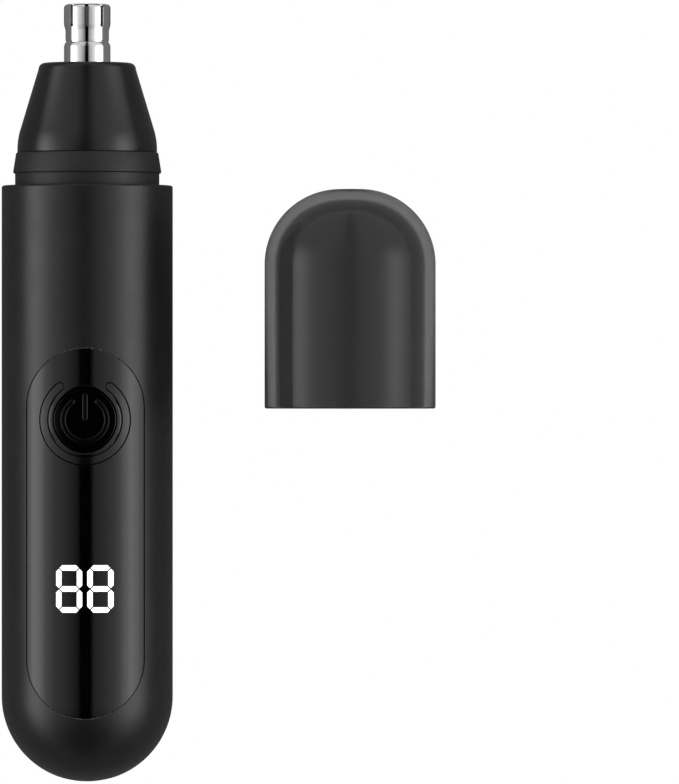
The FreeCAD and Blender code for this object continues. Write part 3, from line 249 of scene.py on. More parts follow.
def turned(name, outline, finish, steps=STEPS, sharp=35):
    """A closed outline of (radius, along) points, turned about the Y axis."""
    closed = [*outline, outline[0]]
    mesh = bpy.data.meshes.new(name)
    mesh.from_pydata([(radius, along, 0) for radius, along in closed], [], [])
    piece = new_piece(name, mesh)
    lathe = piece.modifiers.new("lathe", "NODES")
    lathe.node_group = LATHE
    set_input(lathe, "Steps", steps)
    set_input(lathe, "Points", len(closed))
    set_input(lathe, "Finish", finish)
    return tidy(settle(piece), sharp)


# %% [markdown]
# ## Helpers: pieces that lie flush in the barrel
#
# The panel, the ring of light and the digits are thin and follow the barrel's round surface. The easy way
# is to make each one flat, as a filled curve with its holes, slice it into narrow strips, and then lift
# every point onto the barrel. The shading normals are then set from the barrel's own formula, so that the
# long reflections stay clean.

# %% Flush pieces
STRIP = 0.45 * MM


def surface(across, along):
    """Height of the barrel's skin over a point, on the tube or on its dome end."""
    past = min(0.0, along - DOME)
    return math.sqrt(max(RADIUS ** 2 - across ** 2 - past ** 2, 0.0))


def flat_plate(name, loops, low, high, rounding=0.0):
    """A flat plate with holes, from closed loops of (x, y) points."""
    curve = bpy.data.curves.new(name, "CURVE")
    curve.dimensions = "2D"
    curve.fill_mode = "BOTH"
    curve.extrude = (high - low) / 2 - rounding
    curve.bevel_depth = rounding
    curve.offset = -rounding
    curve.bevel_resolution = 2
    for loop in loops:
        spline = curve.splines.new("POLY")
        spline.points.add(len(loop) - 1)
        for point, (across, along) in zip(spline.points, loop):
            point.co = (across, along, 0, 1)
        spline.use_cyclic_u = True
    plate = settle(new_piece(name, curve))
    plate.data.transform(Matrix.Translation((0, 0, (high + low) / 2)))
    return plate


def slices(bm, axis, first, last):
    """Cut a mesh with evenly spaced planes across one axis."""
    count = math.ceil((last - first) / STRIP)
    for step in range(1, count):
        place = Vector((0, 0, 0))
        place[axis] = first + (last - first) * step / count
        normal = Vector((0, 0, 0))
        normal[axis] = 1
        everything = [*bm.verts, *bm.edges, *bm.faces]
        bmesh.ops.bisect_plane(bm, geom=everything, plane_co=place, plane_no=normal, dist=1e-7)


def wrap(plate):
    """Lift a flat plate onto the barrel; its own height counts from the barrel's skin."""
    bm = bmesh.new()
    bm.from_mesh(plate.data)
    bmesh.ops.remove_doubles(bm, verts=bm.verts, dist=1e-6)
    low = [min(vert.co[axis] for vert in bm.verts) for axis in (0, 1)]
    high = [max(vert.co[axis] for vert in bm.verts) for axis in (0, 1)]
    slices(bm, 0, low[0], high[0])
    if low[1] < DOME:
        slices(bm, 1, low[1], DOME)
    for vert in bm.verts:
        vert.co.z += surface(vert.co.x, vert.co.y)
    bm.to_mesh(plate.data)
    bm.free()
    return plate


def skin_normals(piece, slack=2e-6):
    """Give every face that lies in the barrel's skin the barrel's own normals."""
    mesh = piece.data
    on_skin = []
    for vert in mesh.vertices:
        past = min(0.0, vert.co.y - DOME)
        reach = math.sqrt(vert.co.x ** 2 + vert.co.z ** 2 + past ** 2)
        on_skin.append(abs(reach - RADIUS) < slack and vert.co.y < SHOULDER)
    normals = [corner.vector.copy() for corner in mesh.corner_normals]
    for face in mesh.polygons:
        if all(on_skin[index] for index in face.vertices):
            for loop in face.loop_indices:
                place = mesh.vertices[mesh.loops[loop].vertex_index].co
                normals[loop] = Vector((place.x, min(0.0, place.y - DOME), place.z)).normalized()
    mesh.normals_split_custom_set(normals)
    return piece


# %% [markdown]
# ## Finishes
#
# Everything here is moulded plastic, steel or rubber. Each finish is a small set of nodes on object
# coordinates: a slow noise varies the colour a little, and a fine one varies the roughness and raises the
# grain that a mould or a brush leaves. Uniform numbers stay on the shader itself.

# %% Finish helpers
def blank_finish(name, color, roughness, metallic=0.0):
    """A material with its shader's plain values set."""
    finish = bpy.data.materials.new(name)
    finish.use_nodes = True
    shader = finish.node_tree.nodes["Principled BSDF"]
    shader.inputs["Base Color"].default_value = (*color, 1)
    shader.inputs["Roughness"].default_value = roughness
    shader.inputs["Metallic"].default_value = metallic
    return finish, finish.node_tree, shader


def noise(tree, scale, stretch=(1, 1, 1), detail=3):
    """Noise on object coordinates, scale in waves per metre, stretched along an axis."""
    coords = tree.nodes.new("ShaderNodeTexCoord")
    mapping = tree.nodes.new("ShaderNodeMapping")
    mapping.inputs["Scale"].default_value = stretch
    texture = tree.nodes.new("ShaderNodeTexNoise")
    texture.inputs["Scale"].default_value = scale
    texture.inputs["Detail"].default_value = detail
    tree.links.new(coords.outputs["Object"], mapping.inputs["Vector"])
    tree.links.new(mapping.outputs[0], texture.inputs["Vector"])
    return texture.outputs["Fac"]


def spread(tree, source, low, high):
    """Map a noise to a range."""
    ranged = tree.nodes.new("ShaderNodeMapRange")
    ranged.inputs["From Min"].default_value = 0.3
    ranged.inputs["From Max"].default_value = 0.7
    ranged.inputs["To Min"].default_value = low
    ranged.inputs["To Max"].default_value = high
    tree.links.new(source, ranged.inputs["Value"])
    return ranged.outputs[0]


def mottle(tree, shader, source, color, change):
    """Vary the base colour by a share, from a noise."""
    ramp = tree.nodes.new("ShaderNodeValToRGB")
    ramp.color_ramp.elements[0].position = 0.3
    ramp.color_ramp.elements[1].position = 0.7
    ramp.color_ramp.elements[0].color = (*[part * (1 - change) for part in color], 1)
    ramp.color_ramp.elements[1].color = (*[part * (1 + change) for part in color], 1)
    tree.links.new(source, ramp.inputs[0])
    tree.links.new(ramp.outputs[0], shader.inputs["Base Color"])


def grain(tree, shader, source, height, strength=0.4):
    """Raise a surface by a noise, height in metres."""
    bump = tree.nodes.new("ShaderNodeBump")
    bump.inputs["Distance"].default_value = height
    bump.inputs["Strength"].default_value = strength
    tree.links.new(source, bump.inputs["Height"])
    tree.links.new(bump.outputs[0], shader.inputs["Normal"])


def plastic(name, color, roughness, change=0.12, height=0.00001, fine=2600):
    """Moulded plastic: faint mottling, and a fine grain from the mould."""
    finish, tree, shader = blank_finish(name, color, roughness)
    mottle(tree, shader, noise(tree, 90), color, change)
    uneven = spread(tree, noise(tree, 240), roughness * 0.92, roughness * 1.08)
    tree.links.new(uneven, shader.inputs["Roughness"])
    if height:
        grain(tree, shader, noise(tree, fine), height)
    return finish


def metal(name, color, roughness, stretch=(1, 1, 1), height=0.000004, fine=1800):
    """Bare metal, with brushed lines where the noise is stretched."""
    finish, tree, shader = blank_finish(name, color, roughness, 1.0)
    lines = noise(tree, fine, stretch)
    mottle(tree, shader, lines, color, 0.06)
    tree.links.new(spread(tree, lines, roughness * 0.8, roughness * 1.25), shader.inputs["Roughness"])
    grain(tree, shader, lines, height, 0.3)
    return finish


# %% The finishes of the visible pieces
SATIN_BLACK = plastic("satin_black", (0.010, 0.010, 0.0108), 0.33)
COLLAR_BLACK = plastic("collar_black", (0.013, 0.013, 0.014), 0.5)
CONE_BLACK = plastic("cone_black", (0.009, 0.009, 0.0095), 0.24, height=0.000006)
PANEL_BLACK = plastic("panel_black", (0.0012, 0.0012, 0.0013), 0.045, height=0.0)
BUTTON_BLACK = plastic("button_black", (0.0008, 0.0008, 0.0009), 0.06, height=0.0)
RING_TINT = plastic("ring_tint", (0.004, 0.004, 0.0042), 0.09, height=0.0)
SYMBOL_TINT = plastic("symbol_tint", (0.002, 0.002, 0.0021), 0.12, height=0.0)
CUTTER_STEEL = metal("cutter_steel", (0.86, 0.86, 0.87), 0.04, (1, 0.08, 1), height=0.0000008)
print(len(bpy.data.materials), "materials so far")

# %% [markdown]
# The digits are bars of clear plastic with a lamp behind each, so their finish glows. A little noise in
# the glow keeps it from looking printed. The cap is smoke-tinted clear plastic: light passes its walls
# and is darkened on the way, and the surface is polished.

# %% Lit and clear finishes
def lit_finish():
    """Glowing white for the digits."""
    finish, tree, shader = blank_finish("lit_white", (0.9, 0.92, 0.95), 0.25)
    shader.inputs["Emission Color"].default_value = (0.96, 0.98, 1.0, 1)
    tree.links.new(spread(tree, noise(tree, 700), 0.92, 1.08), shader.inputs["Emission Strength"])
    return finish


def smoke_finish():
    """Dark transparent plastic for the cap."""
    finish, tree, shader = blank_finish("cap_smoke", (0.17, 0.17, 0.173), 0.08)
    shader.inputs["IOR"].default_value = 1.3
    shader.inputs["Specular IOR Level"].default_value = 0.3
    shader.inputs["Transmission Weight"].default_value = 0.95
    tree.links.new(spread(tree, noise(tree, 120), 0.07, 0.11), shader.inputs["Roughness"])
    return finish


LIT_WHITE = lit_finish()
CAP_SMOKE = smoke_finish()

# %% [markdown]
# ## The barrel
#
# The barrel is one deep tube with a half-round end. The lathe turns its wall, and then two cuts are made
# in its front: a shallow recess that follows the skin, where the panel sits, and a smaller window inside
# it, which leaves a ledge for the panel to rest on. A third cut opens the charging socket's hole.

# %% Outlines seen from the front
panel_low, panel_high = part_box("front_panel")
PANEL_HALF = panel_high[0]


def stadium(grow, count=24):
    """The panel's outline, with half-round ends, grown or shrunk."""
    half = PANEL_HALF + grow
    top, bottom = panel_high[1] - PANEL_HALF, panel_low[1] + PANEL_HALF
    return [*arc(0, top, half, 0, 180, count), *arc(0, bottom, half, 180, 360, count)]


def rounded_bar(half_wide, half_thick, count=12):
    """A lying outline with half-round ends about the origin."""
    flat = half_wide - half_thick
    return [*arc(flat, 0, half_thick, -90, 90, count), *arc(-flat, 0, half_thick, 90, 270, count)]


# %% Barrel
def barrel():
    """The shell, turned and then cut."""
    rim = 0.4 * MM
    inner = RADIUS - WALL
    outline = [*arc(0, DOME, RADIUS, -90, 0, 48),
               *arc(RADIUS - rim, SHOULDER - rim, rim, 0, 90, 6),
               (inner, SHOULDER),
               *arc(0, DOME, inner, 0, -90, 32)]
    shell = turned("barrel", outline, SATIN_BLACK, steps=256)
    cut(shell, wrap(flat_plate("recess", [stadium(PANEL_GAP)], -PANEL_THICK, 2 * MM)))
    cut(shell, flat_plate("window", [stadium(-LEDGE)], 3 * MM, RADIUS + MM))
    gasket_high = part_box("port_gasket")[1]
    outline = rounded_bar(gasket_high[0], gasket_high[2])
    hole = flat_plate("port_hole", [outline], 0, 6 * MM)
    hole.data.transform(Matrix.Translation((0, TIP + 5 * MM, 0)) @ Matrix.Rotation(math.pi / 2, 4, "X"))
    cut(shell, hole)
    skin_normals(tidy(shell, 30))
    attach(shell, "handle")
    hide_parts("body_shell")
    return report(shell)


barrel()

# %% [markdown]
# ## The front panel
#
# The panel is a polished plate with a slightly rounded edge. It is made flat with a round hole for the
# button and a C-shaped slot for the ring of light, and then wrapped on the barrel. The dish round the
# button is cut last, with a turned tool, because it is round in space and not on the barrel.

# %% Shapes round the button
button_low, button_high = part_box("power_button")
BUTTON_ALONG = (button_low[1] + button_high[1]) / 2
BUTTON_RADIUS = button_high[0] - 0.5 * MM
ring_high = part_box("light_ring")[1]
RING_LINE = 1.36 * MM
RING_RADIUS = ring_high[0] - RING_LINE / 2
RING_OPEN = 37


def open_ring(radius, line, half_open, count=64):
    """A C outline with round ends, open towards the head, about the button's centre."""
    half = line / 2
    start, end = 90 + half_open, 450 - half_open
    outer = arc(0, BUTTON_ALONG, radius + half, start, end, count)
    inner = arc(0, BUTTON_ALONG, radius - half, end, start, count)
    tips = []
    for turn in (end, start):
        place = math.radians(turn)
        across, along = radius * math.cos(place), BUTTON_ALONG + radius * math.sin(place)
        first = turn if turn == end else turn + 180
        tips.append(arc(across, along, half, first, first + 180, 8)[1:-1])
    return [*outer, *tips[0], *inner, *tips[1]]


# %% Shapes of the digits
digits_low, digits_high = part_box("display_segments")
BAR_LINE = 0.95 * MM
BAR_GAP = 0.13 * MM
PITCH = 5.44 * MM
BAR_SPAN = digits_high[0] - digits_low[0] - PITCH - BAR_LINE


def bar_outline(span):
    """One six-sided bar, lying along X."""
    half, wide = span / 2 - BAR_GAP, BAR_LINE / 2
    corner = half - wide
    return [(-half, 0), (-corner, -wide), (corner, -wide), (half, 0), (corner, wide), (-corner, wide)]


def bar_places():
    """The middle of every bar of both digits, and whether it stands upright."""
    middle = (digits_low[1] + digits_high[1]) / 2
    rise = (digits_high[1] - digits_low[1] - BAR_LINE) / 2
    places = []
    for centre in (-PITCH / 2, PITCH / 2):
        places += [(centre, middle + step * rise, False) for step in (-1, 0, 1)]
        for left in (-BAR_SPAN / 2, BAR_SPAN / 2):
            places += [(centre + left, middle + half * rise / 2, True) for half in (-1, 1)]
    return places


BAR_OUTLINE = bar_outline(BAR_SPAN)
BAR_PLACES = bar_places()
print(len(BAR_PLACES), "bars")


# %% Turning a piece to stand at the button
def stand_up(piece):
    """Turn a piece made along Y so that it stands along Z at the button."""
    piece.data.transform(Matrix.Translation((0, BUTTON_ALONG, 0)) @ Matrix.Rotation(math.pi / 2, 4, "X"))
    return piece


# %% Panel
BUTTON_HOLE = BUTTON_RADIUS + 0.15 * MM
BUTTON_FACE = math.sqrt(RADIUS ** 2 - BUTTON_HOLE ** 2) - 0.1 * MM
DISH_WIDTH = 0.8 * MM


def dish_tool():
    """The turned tool that dishes the panel round the button."""
    outer = BUTTON_RADIUS + DISH_WIDTH + 0.1 * MM
    slope = bend((outer, RADIUS + 0.2 * MM), (BUTTON_HOLE, BUTTON_FACE), 1.5 * DISH_WIDTH, 10)
    outline = [(0, BUTTON_FACE), *reversed(slope), (0, RADIUS + 0.2 * MM)]
    return stand_up(turned("dish_tool", outline, PANEL_BLACK, steps=128))


def well():
    """A wall behind the panel, inside the ring of light, that closes the dish."""
    inner = RING_RADIUS - RING_LINE / 2 - 0.1 * MM
    back = BUTTON_FACE - 1.2 * MM
    outline = [(BUTTON_HOLE, back), (inner, back), (inner, BUTTON_FACE + 0.35 * MM),
               (inner - 0.12 * MM, BUTTON_FACE + 0.2 * MM), (BUTTON_HOLE + 0.3 * MM, BUTTON_FACE),
               (BUTTON_HOLE, BUTTON_FACE - 0.05 * MM)]
    return stand_up(turned("well", outline, PANEL_BLACK, steps=128, sharp=60))


def front_panel():
    """The polished plate and the well behind it, joined as one piece."""
    hole = arc(0, BUTTON_ALONG, BUTTON_HOLE, 0, 360, 96)[:-1]
    ring_slot = open_ring(RING_RADIUS, RING_LINE + 0.2 * MM, RING_OPEN)
    windows = []
    for across, along, upright in BAR_PLACES:
        corners = [(-up, side) for side, up in BAR_OUTLINE] if upright else BAR_OUTLINE
        windows.append([(across + side, along + up) for side, up in corners])
    plate = flat_plate("panel_plate", [stadium(0, 40), hole, ring_slot, *windows], -PANEL_THICK, 0, 0.06 * MM)
    plate.data.materials.append(PANEL_BLACK)
    cut(wrap(plate), dish_tool())
    tidy(plate, 40)
    wall = well()
    bm = bmesh.new()
    bm.from_mesh(plate.data)
    bm.from_mesh(wall.data)
    panel = new_piece("panel", bpy.data.meshes.new("panel"))
    bm.to_mesh(panel.data)
    bm.free()
    panel.data.materials.append(PANEL_BLACK)
    bpy.data.objects.remove(plate)
    bpy.data.objects.remove(wall)
    skin_normals(panel)
    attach(panel, "handle")
    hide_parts("front_panel")
    return report(panel)


front_panel()

# %% [markdown]
# ## The ring of light and the digits
#
# The ring is one C-shaped guide that reaches back to the lamps on the board. The digits are fourteen
# equal bars. A bar is drawn once, and a node tree places it at fourteen points, turning it where the
# point is marked upright.

# %% Ring of light
def light_ring():
    """C-shaped light guide, flush with the panel."""
    outline = open_ring(RING_RADIUS, RING_LINE - 0.1 * MM, RING_OPEN)
    guide = flat_plate("ring_lens", [outline], -2.2 * MM, 0, 0.05 * MM)
    guide.data.materials.append(RING_TINT)
    skin_normals(tidy(wrap(guide), 40))
    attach(guide, "handle")
    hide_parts("light_ring")
    return report(guide)


light_ring()


# %% The tree that places the bars
def placing_tree():
    """Put one shape on every point, turned a quarter where the point is upright."""
    tree = bpy.data.node_groups.new("place_bars", "GeometryNodeTree")
    face = tree.interface
    face.new_socket("Geometry", in_out="OUTPUT", socket_type="NodeSocketGeometry")
    face.new_socket("Geometry", in_out="INPUT", socket_type="NodeSocketGeometry")
    face.new_socket("Shape", in_out="INPUT", socket_type="NodeSocketObject")
    face.new_socket("Finish", in_out="INPUT", socket_type="NodeSocketMaterial")
    nodes, links = tree.nodes, tree.links
    given = nodes.new("NodeGroupInput").outputs
    shape = nodes.new("GeometryNodeObjectInfo")
    links.new(given["Shape"], shape.inputs[0])
    mark = nodes.new("GeometryNodeInputNamedAttribute")
    mark.data_type = "FLOAT"
    mark.inputs["Name"].default_value = "upright"
    turn = nodes.new("ShaderNodeCombineXYZ")
    links.new(link_math(tree, "MULTIPLY", mark.outputs[0], math.pi / 2), turn.inputs[2])
    rotation = nodes.new("FunctionNodeEulerToRotation")
    links.new(turn.outputs[0], rotation.inputs[0])
    placed = nodes.new("GeometryNodeInstanceOnPoints")
    links.new(given["Geometry"], placed.inputs["Points"])
    links.new(shape.outputs["Geometry"], placed.inputs["Instance"])
    links.new(rotation.outputs[0], placed.inputs["Rotation"])
    real = nodes.new("GeometryNodeRealizeInstances")
    links.new(placed.outputs[0], real.inputs[0])
    finish = nodes.new("GeometryNodeSetMaterial")
    links.new(real.outputs[0], finish.inputs["Geometry"])
    links.new(given["Finish"], finish.inputs["Material"])
    links.new(finish.outputs[0], nodes.new("NodeGroupOutput").inputs[0])
    return tree


PLACE_BARS = placing_tree()

# %% Digits
def digits():
    """Both digits, every bar lit."""
    points = [(across, along, 0) for across, along, _ in BAR_PLACES]
    mesh = bpy.data.meshes.new("digit_bars")
    mesh.from_pydata(points, [], [])
    upright = [float(turned_up) for _, _, turned_up in BAR_PLACES]
    mesh.attributes.new("upright", "FLOAT", "POINT").data.foreach_set("value", upright)
    bars = new_piece("digit_bars", mesh)
    shape = flat_plate("bar_shape", [BAR_OUTLINE], -PANEL_THICK, 0)
    place = bars.modifiers.new("place", "NODES")
    place.node_group = PLACE_BARS
    set_input(place, "Shape", shape)
    set_input(place, "Finish", LIT_WHITE)
    settle(bars)
    bpy.data.objects.remove(shape)
    skin_normals(tidy(wrap(bars), 40))
    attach(bars, "handle")
    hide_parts("display_segments")
    return report(bars)


digits()

# %% [markdown]
# ## The button
#
# The button is turned about the line that it moves along. Its polished face is flat, so it mirrors only
# the dark straight above and looks black, while a lip behind keeps it in and a stem presses the switch.
# The power symbol, a C and a bar, stands a hair proud with rounded edges, which show as thin grey lines.

# %% Button
def button():
    """The pressed cap of the switch."""
    stem, lip = 1.9 * MM, BUTTON_RADIUS + 0.5 * MM
    foot = button_low[2]
    lip_back, lip_front = foot + 0.3 * MM, foot + 0.9 * MM
    edge = 0.25 * MM
    outline = [(0, foot), (stem, foot), (stem, lip_back), (lip, lip_back), (lip, lip_front),
               (BUTTON_RADIUS, lip_front), *arc(BUTTON_RADIUS - edge, BUTTON_FACE - edge, edge, 0, 90, 6),
               (0, BUTTON_FACE)]
    piece = stand_up(turned("button", outline, BUTTON_BLACK, steps=128, sharp=50))
    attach(piece, "button")
    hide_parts("power_button")
    return report(piece)


def symbol():
    """Power symbol set in the button's face, a little proud, with rounded edges that catch the light."""
    line, proud = 0.9 * MM, 0.05 * MM
    ring_part = open_ring(3.8 * MM, line, 35)
    bar = [*arc(0, BUTTON_ALONG + 4.6 * MM - line / 2, line / 2, 0, 180, 12),
           *arc(0, BUTTON_ALONG - 0.2 * MM + line / 2, line / 2, 180, 360, 12)]
    plate = flat_plate("symbol", [ring_part, bar], -0.3 * MM, proud, 0.09 * MM)
    plate.data.transform(Matrix.Translation((0, 0, BUTTON_FACE)))
    plate.data.materials.append(SYMBOL_TINT)
    tidy(plate, 50)
    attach(plate, "button")
    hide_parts("power_symbol")
    return report(plate)


button()
symbol()

# %% [markdown]
# ## Collar and cone
#
# Above the shoulder stand a plain neck and a collar that tapers, and the cone of the head sits on it. Both
# are turned, with small roundings on their edges so that the light picks them out.

# %% Collar
collar_low, collar_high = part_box("neck_collar")
cone_low, cone_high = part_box("head_cone")


def collar():
    """Plug, neck and tapered collar in one piece."""
    plug = RADIUS - WALL - 0.1 * MM
    neck, wide, top = 12.65 * MM, 13.0 * MM, 12.5 * MM
    bore, floor, hole = 10.5 * MM, collar_low[1] + 2.2 * MM, 2.6 * MM
    neck_foot, neck_top = SHOULDER - 0.1 * MM, SHOULDER + 2.1 * MM
    edge = 0.3 * MM
    outline = [(hole, collar_low[1]), (plug, collar_low[1]), (plug, neck_foot), (neck, neck_foot),
               (neck, neck_top), *arc(wide - edge, neck_top + edge, edge, -90, 0, 5),
               *arc(top - edge, collar_high[1] - edge, edge, 8, 90, 5),
               (bore, collar_high[1]), (bore, floor), (hole, floor)]
    piece = turned("collar", outline, COLLAR_BLACK)
    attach(piece, "handle")
    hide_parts("neck_collar")
    return report(piece)


def cone():
    """The head's cone with its spigot."""
    base, top = SHOULDER + 5.8 * MM, cone_high[1]
    spigot, inside = 10.42 * MM, 9.02 * MM
    pocket, hole = 7.15 * MM, 4.1 * MM
    pocket_top, pocket_foot = top - 1.4 * MM, top - 5.1 * MM
    foot, flat, edge = 12.25 * MM, 7.5 * MM, 0.15 * MM
    knee = (11.85 * MM, base + 3.6 * MM)
    side_top = (8.55 * MM, top - 1.1 * MM)
    outline = [(inside, cone_low[1]), (spigot, cone_low[1]), (spigot, base),
               *arc(foot - edge, base + edge, edge, -90, -5, 4),
               *bend((foot, base + edge), knee, 12.5 * MM)[1:], *bend(side_top, (flat, top), 1.1 * MM),
               (hole, top), (hole, pocket_top), (pocket, pocket_top), (pocket, pocket_foot),
               (inside, base + MM)]
    piece = turned("cone", outline, CONE_BLACK)
    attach(piece, "head")
    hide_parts("head_cone")
    return report(piece)


collar()
cone()

# %% [markdown]
# ## The cutter
#
# The cutter is a thin steel tube: a plain sleeve, a waist, and a crown with nine slots that hairs go
# through. The slots repeat round the axis, so a node tree places one block on the points of a circle and
# takes all nine out of the turned tube at once.

# %% The slotting tree
def slotting_tree():
    """Take a block out of a shape at even steps round the Y axis."""
    tree = bpy.data.node_groups.new("cut_slots", "GeometryNodeTree")
    face = tree.interface
    face.new_socket("Geometry", in_out="OUTPUT", socket_type="NodeSocketGeometry")
    face.new_socket("Geometry", in_out="INPUT", socket_type="NodeSocketGeometry")
    face.new_socket("Block", in_out="INPUT", socket_type="NodeSocketObject")
    face.new_socket("Count", in_out="INPUT", socket_type="NodeSocketInt")
    face.new_socket("Finish", in_out="INPUT", socket_type="NodeSocketMaterial")
    nodes, links = tree.nodes, tree.links
    given = nodes.new("NodeGroupInput").outputs
    block = nodes.new("GeometryNodeObjectInfo")
    links.new(given["Block"], block.inputs[0])
    points = nodes.new("GeometryNodePoints")
    links.new(given["Count"], points.inputs["Count"])
    index = nodes.new("GeometryNodeInputIndex").outputs[0]
    step = link_math(tree, "DIVIDE", index, given["Count"])
    turn = nodes.new("ShaderNodeCombineXYZ")
    links.new(link_math(tree, "MULTIPLY", step, math.tau), turn.inputs[1])
    rotation = nodes.new("FunctionNodeEulerToRotation")
    links.new(turn.outputs[0], rotation.inputs[0])
    placed = nodes.new("GeometryNodeInstanceOnPoints")
    links.new(points.outputs[0], placed.inputs["Points"])
    links.new(block.outputs["Geometry"], placed.inputs["Instance"])
    links.new(rotation.outputs[0], placed.inputs["Rotation"])
    boolean = nodes.new("GeometryNodeMeshBoolean")
    boolean.operation = "DIFFERENCE"
    boolean.solver = "EXACT"
    links.new(given["Geometry"], boolean.inputs["Mesh 1"])
    links.new(placed.outputs[0], boolean.inputs["Mesh 2"])
    real = nodes.new("GeometryNodeRealizeInstances")
    links.new(boolean.outputs[0], real.inputs[0])
    finish = nodes.new("GeometryNodeSetMaterial")
    links.new(real.outputs[0], finish.inputs["Geometry"])
    links.new(given["Finish"], finish.inputs["Material"])
    links.new(finish.outputs[0], nodes.new("NodeGroupOutput").inputs[0])
    return tree


# %% Cutter
def slot_block(top):
    """A block as wide as a slot, from near the middle of the crown outwards."""
    half, inner, outer = 0.31 * MM, 2.2 * MM, 5 * MM
    outline = [(-half, top - 4.0 * MM), (half, top - 4.0 * MM), (half, top + MM), (-half, top + MM)]
    return flat_plate("slot_block", [outline], inner, outer)


def cutter():
    """Sleeve, waist and slotted crown."""
    low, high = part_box("outer_cutter")
    top, foot = high[1], cone_high[1]
    tube, waist, bore, flange = 4.08 * MM, 3.82 * MM, 3.47 * MM, 5.6 * MM
    sleeve, seam, flare = foot + 2.85 * MM, foot + 3.65 * MM, foot + 5.6 * MM
    flange_top, groove = low[1] + 0.6 * MM, waist - 0.12 * MM
    edge, roof = 0.7 * MM, top - 0.35 * MM
    outline = [(bore, low[1]), (flange, low[1]), (flange, flange_top), (tube, flange_top),
               *bend((tube, sleeve), (waist + 0.02 * MM, seam - 0.1 * MM), 2 * MM, 5), (groove, seam),
               (groove, seam + 0.2 * MM), (waist, seam + 0.24 * MM), (waist, flare),
               (waist + 0.05 * MM, flare + 0.3 * MM), (tube - 0.05 * MM, flare + 0.9 * MM),
               (tube, flare + 1.25 * MM), *arc(tube - edge, top - edge, edge, 0, 90, 8),
               (2.2 * MM, top), (0, top), (0, roof), (bore, roof)]
    piece = turned("cutter", outline, CUTTER_STEEL, steps=144)
    block = slot_block(top)
    slots = piece.modifiers.new("slots", "NODES")
    slots.node_group = slotting_tree()
    set_input(slots, "Block", block)
    set_input(slots, "Count", 9)
    set_input(slots, "Finish", CUTTER_STEEL)
    settle(piece)
    bpy.data.objects.remove(block)
    tidy(piece, 30)
    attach(piece, "head")
    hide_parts("outer_cutter")
    return report(piece)


cutter()

# %% [markdown]
# ## The cap
#
# The cap is a cup of smoked plastic with a round end. Its wall has a true inside and outside, because
# clear plastic shows both. It lies on its side, off the trimmer's line, so it is turned at the axis and
# its mesh is moved across.

# %% Cap
def cap():
    """The smoked cup."""
    low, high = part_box("protective_cap")
    radius, mouth, top = (high[0] - low[0]) / 2, low[1], high[1]
    bore, roof, round_end = 13.2 * MM, 1.8 * MM, 13.2 * MM
    centre, inner = top - round_end, round_end - roof
    edge = 0.35 * MM
    outline = [*arc(bore + edge, mouth + edge, edge, 180, 270, 4),
               *arc(radius - edge, mouth + edge, edge, -90, 0, 4),
               *arc(radius - round_end, centre, round_end, 0, 90, 28), (0, top), (0, top - roof),
               *arc(bore - inner, centre, inner, 90, 0, 24)]
    piece = turned("cap", outline, CAP_SMOKE, steps=160)
    piece.data.transform(Matrix.Translation(((low[0] + high[0]) / 2, 0, 0)))
    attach(piece, "cap")
    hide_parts("protective_cap")
    return report(piece)


cap()

# %% [markdown]
# ## Inner parts
#
# The battery, the motor, the boards and the rest stay as engineered, because their shapes are right.
# They only show when the trimmer comes apart, but each still gets a finish of its own kind.

# %% Finishes of the inner parts
INNER = {
    "inner_black": plastic("inner_black", (0.02, 0.02, 0.02), 0.5),
    "board_green": plastic("board_green", (0.015, 0.10, 0.04), 0.35),
    "chip_black": plastic("chip_black", (0.012, 0.012, 0.012), 0.55),
    "lamp_white": plastic("lamp_white", (0.85, 0.8, 0.5), 0.3),
    "socket_steel": metal("socket_steel", (0.62, 0.62, 0.62), 0.28),
    "soft_rubber": plastic("soft_rubber", (0.014, 0.014, 0.014), 0.7, height=0.00002),
    "cell_wrap": plastic("cell_wrap", (0.02, 0.12, 0.3), 0.25),
    "nickel": metal("nickel", (0.66, 0.64, 0.58), 0.3),
    "foam": plastic("foam", (0.05, 0.05, 0.05), 0.9, height=0.00008, fine=900),
    "lead_red": plastic("lead_red", (0.4, 0.02, 0.02), 0.45),
    "inner_white": plastic("inner_white", (0.62, 0.62, 0.6), 0.45),
    "motor_steel": metal("motor_steel", (0.6, 0.6, 0.61), 0.32, (1, 0.1, 1)),
    "magnet": plastic("magnet", (0.03, 0.03, 0.032), 0.6),
    "brass_strip": metal("brass_strip", (0.8, 0.58, 0.28), 0.3),
    "bronze": metal("bronze", (0.55, 0.36, 0.18), 0.45),
    "screw_steel": metal("screw_steel", (0.65, 0.65, 0.66), 0.25),
    "copper": metal("copper", (0.75, 0.34, 0.18), 0.35, (1, 0.05, 1)),
    "blade_steel": metal("blade_steel", (0.5, 0.5, 0.51), 0.3, (1, 0.1, 1)),
}

hidden = {"body_shell", "front_panel", "light_ring", "display_segments", "power_button", "power_symbol",
          "neck_collar", "head_cone", "outer_cutter", "protective_cap"}
for part in frame["record"]["subparts"]:
    if part["node"] in hidden:
        continue
    own = frame["nodes"][part["node"]]
    for slot in own.material_slots:
        slot.material = INNER[part["material_slot"]]
print(len(frame["nodes"]) - len(hidden), "inner parts finished")


# %% [markdown]
# ## Studio
#
# The floor is plain white paper. To the camera it is evenly bright; to the object it is a dim grey, as if
# the paper hung far below, so it doesn't wash out the black sides. The light is a sky of soft boxes: dark
# straight above, rising to two long bright boxes low on each side. Its brightness depends only on the
# direction that the light comes from.

